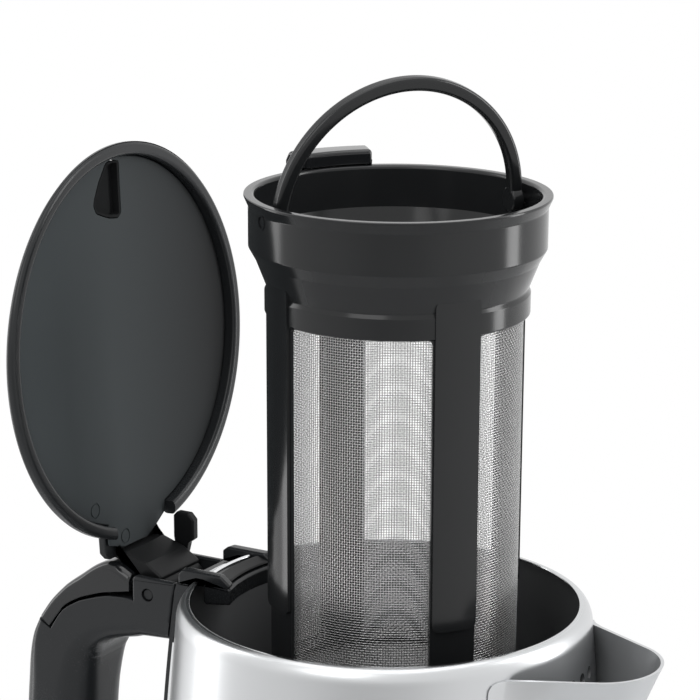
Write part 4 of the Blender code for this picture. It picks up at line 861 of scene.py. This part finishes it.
# %% Latch pocket and top disc
tray = lid_object("latch_pocket_fine", pocket_body(0.0007, 0.0013, plate_z, LID_T - 0.0011))
carve(tray, [lid_object("cut", pocket_body(0, 0.0009, plate_z - 0.001, plate_z + 0.0021))])
dress(tray, LOOKS["pocket"], "lid", ["latch_pocket"])
disc_z, disc_top = LID_T + GAP, LID_T + GAP + 0.0006
outline = soften([(0.0, disc_z), (0.0440, disc_z), (0.0440, disc_top), (0.0, disc_top)], [0, 0.0001, 0.0003, 0], 3)
top_disc = lid_object("lid_top_disc_fine", turned(outline, 192))
mark_inside(top_disc, lambda c, n: np.zeros(len(c)))
dress(top_disc, LOOKS["steel"], "lid", ["lid_top_disc"])
print("lid done")

# %% [markdown]
# ## The filter
#
# A moulded frame holds the woven sleeve. Its ring, cone and collar are one turned outline, the windows are cut out of
# the wall below, and each upright between two windows carries a raised strip with rounded corners. Cutters and strips
# are the same shape: a rounded rectangle bent around the filter's axis.

# %% Curved plates on a cylinder, for window cutters and strips
FRAME_R, FRAME_IN, STRIP_R, STRUT_W = 0.0340, 0.0330, 0.0350, 0.0130


def curved_plate(turn, half, low, high, corner, r_in, r_out, columns=20):
    """A plate with rounded corners lying on a cylinder around the filter's axis; half is half its width in metres."""
    z, shrink = np.array(rounded_ends(low, high, corner, 6, 5)).T
    a = turn + (half - shrink)[:, None] * np.linspace(-1, 1, columns + 1) / FRAME_R
    z = np.broadcast_to(z[:, None], a.shape)
    verts = [np.stack([FILTER_X + r * np.cos(a), r * np.sin(a), z], -1).reshape(-1, 3) for r in (r_in, r_out)]
    m, n = a.shape
    grid = (np.arange(m - 1)[:, None] * n + np.arange(columns)).reshape(-1, 1) + [0, 1, n + 1, n]
    edge = np.concatenate([np.arange(n), np.arange(1, m) * n + columns, (m - 1) * n + np.arange(columns)[::-1],
                           np.arange(1, m - 1)[::-1] * n])
    after = np.roll(edge, -1)
    rim = np.stack([edge, after, after + m * n, edge + m * n], 1)
    return np.vstack(verts), np.vstack([grid, grid + m * n, rim]).tolist()


print("a curved plate has", len(curved_plate(0, 0.01, 0, 0.02, 0.001, 0.033, 0.034)[1]), "faces")

# %% Filter frame
QUARTERS = [STRUT_TURN + k * math.pi / 2 for k in range(4)]
PIVOT_Z, PIVOT_TURNS = 0.1062, (BOW_TURN, BOW_TURN + math.pi)
outline = [(0.0397, RING_TOP), (0.0397, 0.1102), (0.0386, 0.1077), (0.0386, 0.0972), (0.0368, 0.0940),
           (0.0339, 0.0866), (0.0345, 0.0855), (0.0345, WINDOW_Z), (FRAME_R, WINDOW_Z - GAP), (FRAME_R, FOOT_Z),
           (0.0300, FOOT_Z), (0.0300, FOOT_Z + 0.001), (FRAME_IN, FOOT_Z + 0.001), (FRAME_IN, 0.0866),
           (0.0348, 0.0940), (0.0368, 0.0997), (0.0368, RING_TOP)]
radii = [0.0003, 0.0003, 0.0012, 0.0009, 0.0010, 0.0004, 0.0004, 0.0005, 0.0001, 0.0005, 0.0004, 0.0003, 0.0005, 0.001,
         0.001, 0.0006, 0.0010]
basket = mesh_object("filter_frame_fine", turned(soften(outline, radii, 5), 224, FILTER_X))
strut_half = STRUT_W / 2
window_half = math.pi / 4 * FRAME_R - strut_half
carve(basket, [mesh_object("cut", curved_plate(a + math.pi / 4, window_half, FOOT_Z + 0.006, WINDOW_Z - GAP, 0.0016,
                                               0.0320, 0.0352)) for a in QUARTERS])
carve(basket, [mesh_object("strip", curved_plate(a, strut_half - 0.0003, 0.0028, 0.0900, 0.0018, 0.0334, STRIP_R, 12))
               for a in QUARTERS], "UNION")
carve(basket, [mesh_object("boss", spoke(0.0020, 0.0368, 0.0388, a, PIVOT_Z, FILTER_X)) for a in PIVOT_TURNS], "UNION")
carve(basket, [mesh_object("cut", spoke(0.0015, 0.0360, 0.0400, a, PIVOT_Z, FILTER_X)) for a in PIVOT_TURNS])
dress(basket, LOOKS["moulding"], "filter", ["filter_frame"])
print("filter frame:", len(basket.data.polygons), "faces")

# %% [markdown]
# ### Real woven wire
#
# The sleeve is woven from single wires, as the real one is: upright wires pass in front of one ring wire and behind the
# next, and their neighbours do the opposite. Each wire is a thin three-sided tube. The four windows and the floor
# together hold about a thousand wires.

# %% Weaving tools
WIRE, PITCH = 0.00010, 0.00069


def tubes(paths, sideways):
    """Three-sided tubes of wire along many paths at once; sideways is the direction across each path."""
    paths = np.asarray(paths, float)
    along = np.gradient(paths, axis=1)
    along /= np.linalg.norm(along, axis=2)[..., None]
    across = np.cross(along, sideways)
    across /= np.linalg.norm(across, axis=2)[..., None]
    third = np.cross(along, across)
    w, n = paths.shape[:2]
    rings = [paths + WIRE * (math.cos(a) * across + math.sin(a) * third) for a in 2 * np.pi / 3 * np.arange(3)]
    verts = np.stack(rings, 2).reshape(-1, 3)
    start = np.arange(w)[:, None, None] * n * 3 + np.arange(n - 1)[None, :, None] * 3
    a, b = start + np.arange(3), start + (np.arange(3) + 1) % 3
    return verts, np.stack([a, b, b + 3, a + 3], -1).reshape(-1, 4)


def fabric(name, bodies):
    """One mesh object of many tubes, filled straight from arrays."""
    firsts = np.cumsum([0] + [len(v) for v, f in bodies[:-1]])
    verts = np.vstack([v for v, f in bodies]) + [AX, 0, RIM]
    faces = np.vstack([f + first for (v, f), first in zip(bodies, firsts)])
    mesh = bpy.data.meshes.new(name)
    mesh.vertices.add(len(verts))
    mesh.vertices.foreach_set("co", verts.astype(np.float32).ravel())
    mesh.loops.add(faces.size)
    mesh.loops.foreach_set("vertex_index", faces.astype(np.int32).ravel())
    mesh.polygons.add(len(faces))
    mesh.polygons.foreach_set("loop_start", (np.arange(len(faces)) * 4).astype(np.int32))
    mesh.update(calc_edges=True)
    mesh.validate()
    mesh.shade_smooth()
    thing = bpy.data.objects.new(name, mesh)
    bpy.context.scene.collection.objects.link(thing)
    return thing


print("openings between wires: %.2f mm" % (1000 * (PITCH - 2 * WIRE)))

# %% Woven sleeve behind the four windows
SLEEVE_R = 0.0326
low, high = FOOT_Z + 0.0026, WINDOW_Z + 0.0010
half = (window_half + 0.0012) / FRAME_R
rows, count = int((high - low) / PITCH), int(2 * half * SLEEVE_R / PITCH)
levels = low + PITCH * (0.5 + np.arange(rows))
sign = (np.arange(count)[:, None] + np.arange(rows)) % 2 * 2 - 1
z = np.broadcast_to(levels, sign.shape)
for number, middle in enumerate(QUARTERS):
    turns = middle + math.pi / 4 + (np.arange(count) - (count - 1) / 2) * PITCH / SLEEVE_R
    a = np.broadcast_to(turns[:, None], sign.shape)
    r = SLEEVE_R + sign * WIRE
    upright = np.stack([FILTER_X + r * np.cos(a), r * np.sin(a), z], -1)
    r = SLEEVE_R - sign.T * WIRE
    hoops = np.stack([FILTER_X + r * np.cos(a.T), r * np.sin(a.T), z.T], -1)
    facing = np.stack([-np.sin(a), np.cos(a), 0 * a], -1)
    panel = fabric("woven_panel_%d" % (number + 1), [tubes(upright, facing), tubes(hoops, np.array([0, 0, 1.0]))])
    dress(panel, LOOKS["wire"], "filter", ["filter_mesh"])
    print(panel.name, len(panel.data.polygons), "faces")

# %% Woven floor
FLOOR_R, FLOOR_Z = 0.0322, FOOT_Z + 0.0018
bodies = []
for turned_by in (0, 1):
    for k in range(-46, 47):
        reach = math.sqrt(max(0, FLOOR_R ** 2 - (k * PITCH) ** 2))
        steps = np.arange(-int(reach / PITCH), int(reach / PITCH) + 1)
        if len(steps) < 3:
            continue
        lift = ((steps + k) % 2 * 2 - 1) * (1 if turned_by else -1) * WIRE
        line = [steps * PITCH, np.full(len(steps), k * PITCH)]
        x, y = line if turned_by else line[::-1]
        path = np.stack([FILTER_X + x, y, FLOOR_Z + lift], 1)[None]
        bodies.append(tubes(path, np.array([0, 1.0, 0]) if turned_by else np.array([1.0, 0, 0])))
dress(fabric("woven_floor", bodies), LOOKS["wire"], "filter", ["filter_floor_mesh"])
print("woven floor of", len(bodies), "wires")

# %% [markdown]
# A glossy tab sits over the ring at the back left, and a bow stands up between two pivots. The tab is a profile carried
# a short way around the ring. The bow is a rounded square section carried along a half circle that leans ten degrees.

# %% Tab and bow
TAB_TURN, TAB_W, TAB_R = math.radians(145.5), 0.0209, 0.0392
tab = soften([(0.0400, 0.1038), (0.0463, 0.1038), (0.0463, 0.1126), (0.0448, 0.1150), (0.0374, 0.1150),
              (0.0374, RING_TOP + GAP), (0.0400, RING_TOP + GAP)],
             [0.0004, 0.0010, 0.0012, 0.0014, 0.0012, 0.0004, 0.0003], 5)
rings = []
for s, shrink in rounded_ends(0, TAB_W, 0.0011, 16, 5):
    a, shape = TAB_TURN + (s - TAB_W / 2) / TAB_R, inset(tab, shrink)
    rings.append(np.stack([FILTER_X + shape[:, 0] * math.cos(a), shape[:, 0] * math.sin(a), shape[:, 1]], 1))
dress(mesh_object("filter_tab_fine", lofted(rings)), LOOKS["gloss"], "filter", ["filter_tab"])

BOW_R, BOW_LEAN, BOW_HALF = 0.0337, math.radians(10), 0.0018
along = np.array([math.cos(BOW_TURN), math.sin(BOW_TURN), 0.0])
leaning = np.array([math.sin(BOW_TURN), -math.cos(BOW_TURN), 0.0])
up = np.array([0.0, 0.0, 1.0]) * math.cos(BOW_LEAN) + leaning * math.sin(BOW_LEAN)
section = soften(BOW_HALF * np.array([(-1, -1), (1, -1), (1, 1), (-1, 1)]), 0.0011, 6)
a = np.linspace(0, np.pi, 97)[:, None]
out = along * np.cos(a) + up * np.sin(a)
rings = out[:, None] * (BOW_R + section[:, :1]) + np.cross(along, up) * section[:, 1:] + [FILTER_X, 0, PIVOT_Z]
bow = mesh_object("bail_handle_fine", lofted(rings))
eyes = [mesh_object("eye", spoke(0.0034, 0.0320, 0.0354, a, PIVOT_Z, FILTER_X, 0.0006)) for a in PIVOT_TURNS]
eyes += [mesh_object("eye", spoke(0.0012, 0.0340, 0.0385, a, PIVOT_Z, FILTER_X)) for a in PIVOT_TURNS]
carve(bow, eyes, "UNION")
dress(bow, LOOKS["moulding"], "bail", ["bail_handle"])
print("bow:", len(bow.data.polygons), "faces")

# %% [markdown]
# ## Underneath: skirt and power base
#
# The photograph ends below the handle's upper half, so these pieces are designed rather than copied. They follow what
# such tea makers have: a black skirt, a low round base with a slanted band, a dial, four keys and a small window.

# %% Skirt and base
skirt = soften([(0.0657, 0.0333), (0.0657, 0.0208), (0.0617, 0.0208), (0.0617, 0.0228), (0.0143, 0.0228),
                (0.0143, 0.0248), (0.0617, 0.0248), (0.0617, 0.0333)], [0.0004, 0.0014] + [0.0003] * 6, 5)
skirt = mesh_object("jug_skirt_fine", turned(skirt, 192), 0)
dress(skirt, LOOKS["satin"], "jug", ["jug_skirt"])

BASE_R, BASE_SIDE, DECK, SLANT_RUN = 0.0810, 0.0085, 0.0205, 0.0130
KEYS = {"brew_key": -2.2, "warm_key": -1.2, "timer_key": 1.2, "power_key": 2.2}
KEY_STEP = math.radians(13)
slant = math.atan2(DECK - BASE_SIDE, SLANT_RUN)
band_r, band_z = BASE_R - SLANT_RUN * 0.56, BASE_SIDE + (DECK - BASE_SIDE) * 0.56


def on_band(body, turn):
    """Stand an upright body on the slanted band, a turn away from the middle of the front."""
    verts, faces = body
    x, y, z = verts.T
    c, s = math.cos(slant), math.sin(slant)
    y, z = -band_r + y * c - z * s, band_z + y * s + z * c
    c, s = math.cos(turn), math.sin(turn)
    return np.stack([x * c - y * s, x * s + y * c, z], 1), faces


def plug(radius, low, high, turn, segments):
    """A plain round plug standing on the band, to cut a well or to weld a stem."""
    return mesh_object("plug", on_band(turned([(0, low), (radius, low), (radius, high), (0, high)], segments), turn), 0)


shell = soften([(0.0800, 0.0030), (BASE_R, 0.0040), (BASE_R, BASE_SIDE), (BASE_R - SLANT_RUN, DECK), (0.0170, DECK),
                (0.0170, DECK - 0.002), (0.0670, DECK - 0.002), (0.0790, 0.0078), (0.0790, 0.0030)],
               [0.0003, 0.0010, 0.0016, 0.0016, 0.0005, 0.0003, 0.001, 0.001, 0.0002], 6)
shell = mesh_object("base_shell_fine", turned(shell, 256), 0)
wells = [plug(0.0037, -0.006, 0.001, k * KEY_STEP, 48) for k in KEYS.values()]
carve(shell, wells + [plug(0.0025, -0.006, 0.001, 0, 40)])
dress(shell, LOOKS["satin"], "base", ["base_shell"])
print("base shell:", len(shell.data.polygons), "faces")

# %% [markdown]
# The controls are small turned pieces that stand on the slanted band. The dial has a ridge to hold and a stem in the
# shell; each key has a hollow top for a fingertip. Four soft feet and the raised connector complete the base.

# %% Dial, keys, window, feet and connector
profile = soften([(0, GAP), (0.0060, GAP), (0.0060, 0.0032), (0, 0.0032)], [0, 0.0003, 0.0009, 0], 6)
dial = mesh_object("control_dial_fine", on_band(turned(profile, 96), 0), 0)
ridge = soften([(-0.00096, -0.0048), (0.00096, -0.0048), (0.00096, 0.0048), (-0.00096, 0.0048)], 0.0009, 5)
ridge = mesh_object("ridge", on_band(slab(ridge, 0.0016, 0.0038, 0.0004, top_view), 0), 0)
carve(dial, [plug(0.0022, -0.0054, 0.0016, 0, 40), ridge], "UNION")
dress(dial, LOOKS["gloss"], "dial", ["control_dial"])
profile = soften([(0, -0.0034), (0.0034, -0.0034), (0.0034, 0.0016), (0.0024, 0.0014), (0, 0.0012)],
                 [0, 0.0002, 0.0004, 0.0006, 0], 5)
for name, k in KEYS.items():
    key = mesh_object(name + "_fine", on_band(turned(profile, 64), k * KEY_STEP), 0)
    dress(key, LOOKS["gloss"], name, [name])
window = soften([(-0.010, -0.00375), (0.010, -0.00375), (0.010, 0.00375), (-0.010, 0.00375)], 0.0014, 6)
window = on_band(slab(window, GAP, GAP + 0.0008, 0.0003, top_view), -4 * KEY_STEP)
window = mesh_object("display_window_fine", window, 0)
dress(window, LOOKS["glass"], "base", ["display_window"])
profile = soften([(0, 0), (0.0070, 0), (0.0070, 0.0027), (0, 0.0027)], [0, 0.0009, 0.0002, 0], 5)
verts, faces = turned(profile, 64)
for name, share in (("foot_front_right", -0.25), ("foot_back_right", 0.25), ("foot_back_left", 0.75),
                    ("foot_front_left", -0.75)):
    spot = [0.066 * math.cos(math.pi * share), 0.066 * math.sin(math.pi * share), 0]
    dress(mesh_object(name + "_fine", (verts + spot, faces), 0), LOOKS["rubber"], "base", [name])
tower = soften([(0, 0.0049), (0.0167, 0.0049), (0.0167, DECK), (0.0100, DECK), (0.0100, 0.0290), (0, 0.0290)],
               [0, 0.0003, 0.0006, 0.0004, 0.0010, 0], 5)
tower = mesh_object("base_connector_fine", turned(tower, 96), 0)
dress(tower, LOOKS["matte"], "base", ["base_connector"])

# The sealed inner pieces keep their CAD meshes and only take a finish
INNER = {"heater_plate": "aluminium", "heating_ring": "plain_steel", "jug_connector": "matte",
         "sensor_block": "ceramic", "control_board": "board", "base_plate": "matte"}
for name, finish in INNER.items():
    for place in frame["nodes"][name].material_slots:
        place.material = LOOKS[finish]
print("base pieces done")

# %% [markdown]
# ## Table, lamps and camera
#
# The photograph was taken in a white room: a bright wall behind, large soft lamps left, right and above. Large lamps
# give broad, gentle highlights in glossy black plastic and one bright band in the steel. The wall is the world colour,
# which stays white wherever the camera looks past the object; the floor far below is the pale table that the base
# stands on.

# %% Table
table = mesh_object("table", lofted([top_view(ring_of(0.5, 128), z) for z in (-0.02, 0.0)]), 0)
table.data.materials.append(Look("table_white", (0.86, 0.86, 0.86), 0.0, 0.6).material)
print("table top at 0")

# %% World: white to the camera, in mirrors and through glass, and softer as a light on the surfaces
world = bpy.data.worlds.new("white_room")
bpy.context.scene.world = world
world.use_nodes = True
room = Network(world.node_tree)
sky = room.tree.nodes["Background"]
room.feed(sky.inputs["Color"], (0.96, 0.98, 1.0, 1))
room.feed(sky.inputs["Strength"], 0.45)
seen = room.node("ShaderNodeBackground", None, {"Color": (1, 1, 1, 1), "Strength": 1.0})
camera_ray, mirror_ray, glass_ray = (room.node("ShaderNodeLightPath", output=name)
                                     for name in ("Is Camera Ray", "Is Glossy Ray", "Is Transmission Ray"))
show_white = camera_ray.math("MAXIMUM", mirror_ray).math("MAXIMUM", glass_ray)
choose = room.node("ShaderNodeMixShader", None, {0: show_white, 1: Wire(room, sky.outputs[0]), 2: seen})
room.feed(room.tree.nodes["World Output"].inputs["Surface"], choose)
print("world of", len(room.tree.nodes), "nodes")

# %% Lamps
azimuth = math.radians(29.614)
right = Vector((math.cos(azimuth), math.sin(azimuth), 0))
toward = Vector((math.sin(azimuth), -math.cos(azimuth), 0))
centre = Vector((AX, 0, RIM))


def around_jug(degrees, distance, height):
    """A place around the jug: 0 degrees is the camera's side, and positive angles go to the right of the picture."""
    a = math.radians(degrees)
    return centre + (toward * math.cos(a) + right * math.sin(a)) * distance + Vector((0, 0, height))


def lamp(name, place, size, watts):
    """A large rectangular lamp at a place, turned to face the middle of the jug's opening."""
    data = bpy.data.lights.new(name, "AREA")
    data.shape, data.size, data.size_y = "RECTANGLE", size[0], size[1]
    data.energy = watts
    thing = bpy.data.objects.new(name, data)
    thing.location = place
    thing.rotation_euler = (centre - Vector(place)).to_track_quat("-Z", "Y").to_euler()
    bpy.context.scene.collection.objects.link(thing)
    thing.visible_camera = False


lamp("left_strip", around_jug(-107, 0.9, 0.15), (0.24, 1.4), 2.6)
lamp("right_strip", around_jug(96, 0.9, 0.27), (0.23, 1.0), 4.2)
lamp("ceiling", centre + Vector((0, 0, 0.95)), (0.9, 0.9), 3)
lamp("front_fill", around_jug(-30, 1.6, 1.4), (1.0, 1.0), 6)
print(len(bpy.data.lights), "lamps")

# %% [markdown]
# The photographer's side of the room is a little darker than its walls, which gives the round steel its soft grey
# middle. A curved paper wall stands for it. Only mirrors see it, and a number at its corners says how bright it is.

# %% Paper wall on the camera's side
PAPER = ((-95, 1.0), (-60, 0.88), (-42, 0.82), (-28, 0.70), (-14, 0.60), (2, 0.66), (14, 0.70), (26, 0.84), (40, 0.95),
         (55, 1.0))
angles = np.linspace(PAPER[0][0], PAPER[-1][0], 61)
shades = np.interp(angles, *np.array(PAPER, float).T)
spots = np.array([around_jug(a, 1.25, 0) for a in angles]) - [AX, 0, RIM]
paper = np.vstack([spots + [0, 0, z] for z in (-1.0, 0.45)])
last = len(angles) - 1
paper = mesh_object("paper_wall", (paper, [(i, i + 1, i + last + 2, i + last + 1) for i in range(last)]), 0)
shade = paper.data.attributes.new("shade", "FLOAT", "POINT")
shade.data.foreach_set("value", np.tile(shades, 2).astype(np.float32))
look = Look("paper_wall", (0.0, 0.0, 0.0), 0.0, 1.0)
look.set("Specular IOR Level", 0.0)
look.set("Emission Strength", 1.0)
look.set("Emission Color", look.mix(look.attribute("shade"), (0.0, 0.0, 0.0), (1.0, 1.0, 1.0)))
paper.data.materials.append(look.material)
for switch in ("visible_camera", "visible_diffuse", "visible_shadow", "visible_transmission"):
    setattr(paper, switch, False)
print("paper wall from %.0f to %.0f degrees" % (angles[0], angles[-1]))

# %% [markdown]
# ### Camera
#
# The direction, height and lens come from fitting the rim, the filter's ring and the lid in the photograph: the camera
# stands about 30 degrees to the right of the front and looks 19 degrees down from less than a metre away.

# %% Camera
PICTURE, SENSOR, FOCAL_PIXELS = 700, 36.0, 2918.05
elevation, roll, distance = math.radians(19.003), math.radians(0.437), 0.7845
look_from = toward * math.cos(elevation) + Vector((0, 0, math.sin(elevation)))
view_up = -toward * math.sin(elevation) + Vector((0, 0, math.cos(elevation)))
x_axis = right * math.cos(roll) + view_up * math.sin(roll)
y_axis = view_up * math.cos(roll) - right * math.sin(roll)
data = bpy.data.cameras.new("camera")
data.sensor_width, data.lens = SENSOR, FOCAL_PIXELS / PICTURE * SENSOR
data.shift_x, data.shift_y = -0.0493, 0.3559
data.clip_start, data.clip_end = 0.05, 20.0
camera = bpy.data.objects.new("camera", data)
camera.matrix_world = Matrix((x_axis, y_axis, look_from)).transposed().to_4x4()
camera.location = centre + look_from * distance
bpy.context.scene.collection.objects.link(camera)

scene = bpy.context.scene
scene.camera = camera
view = scene.view_settings
view.view_transform, view.look, view.exposure, view.gamma = "Standard", "None", 0.0, 1.0
scene.render.resolution_x = scene.render.resolution_y = PICTURE
print("camera %.2f m from the middle of the opening" % distance)
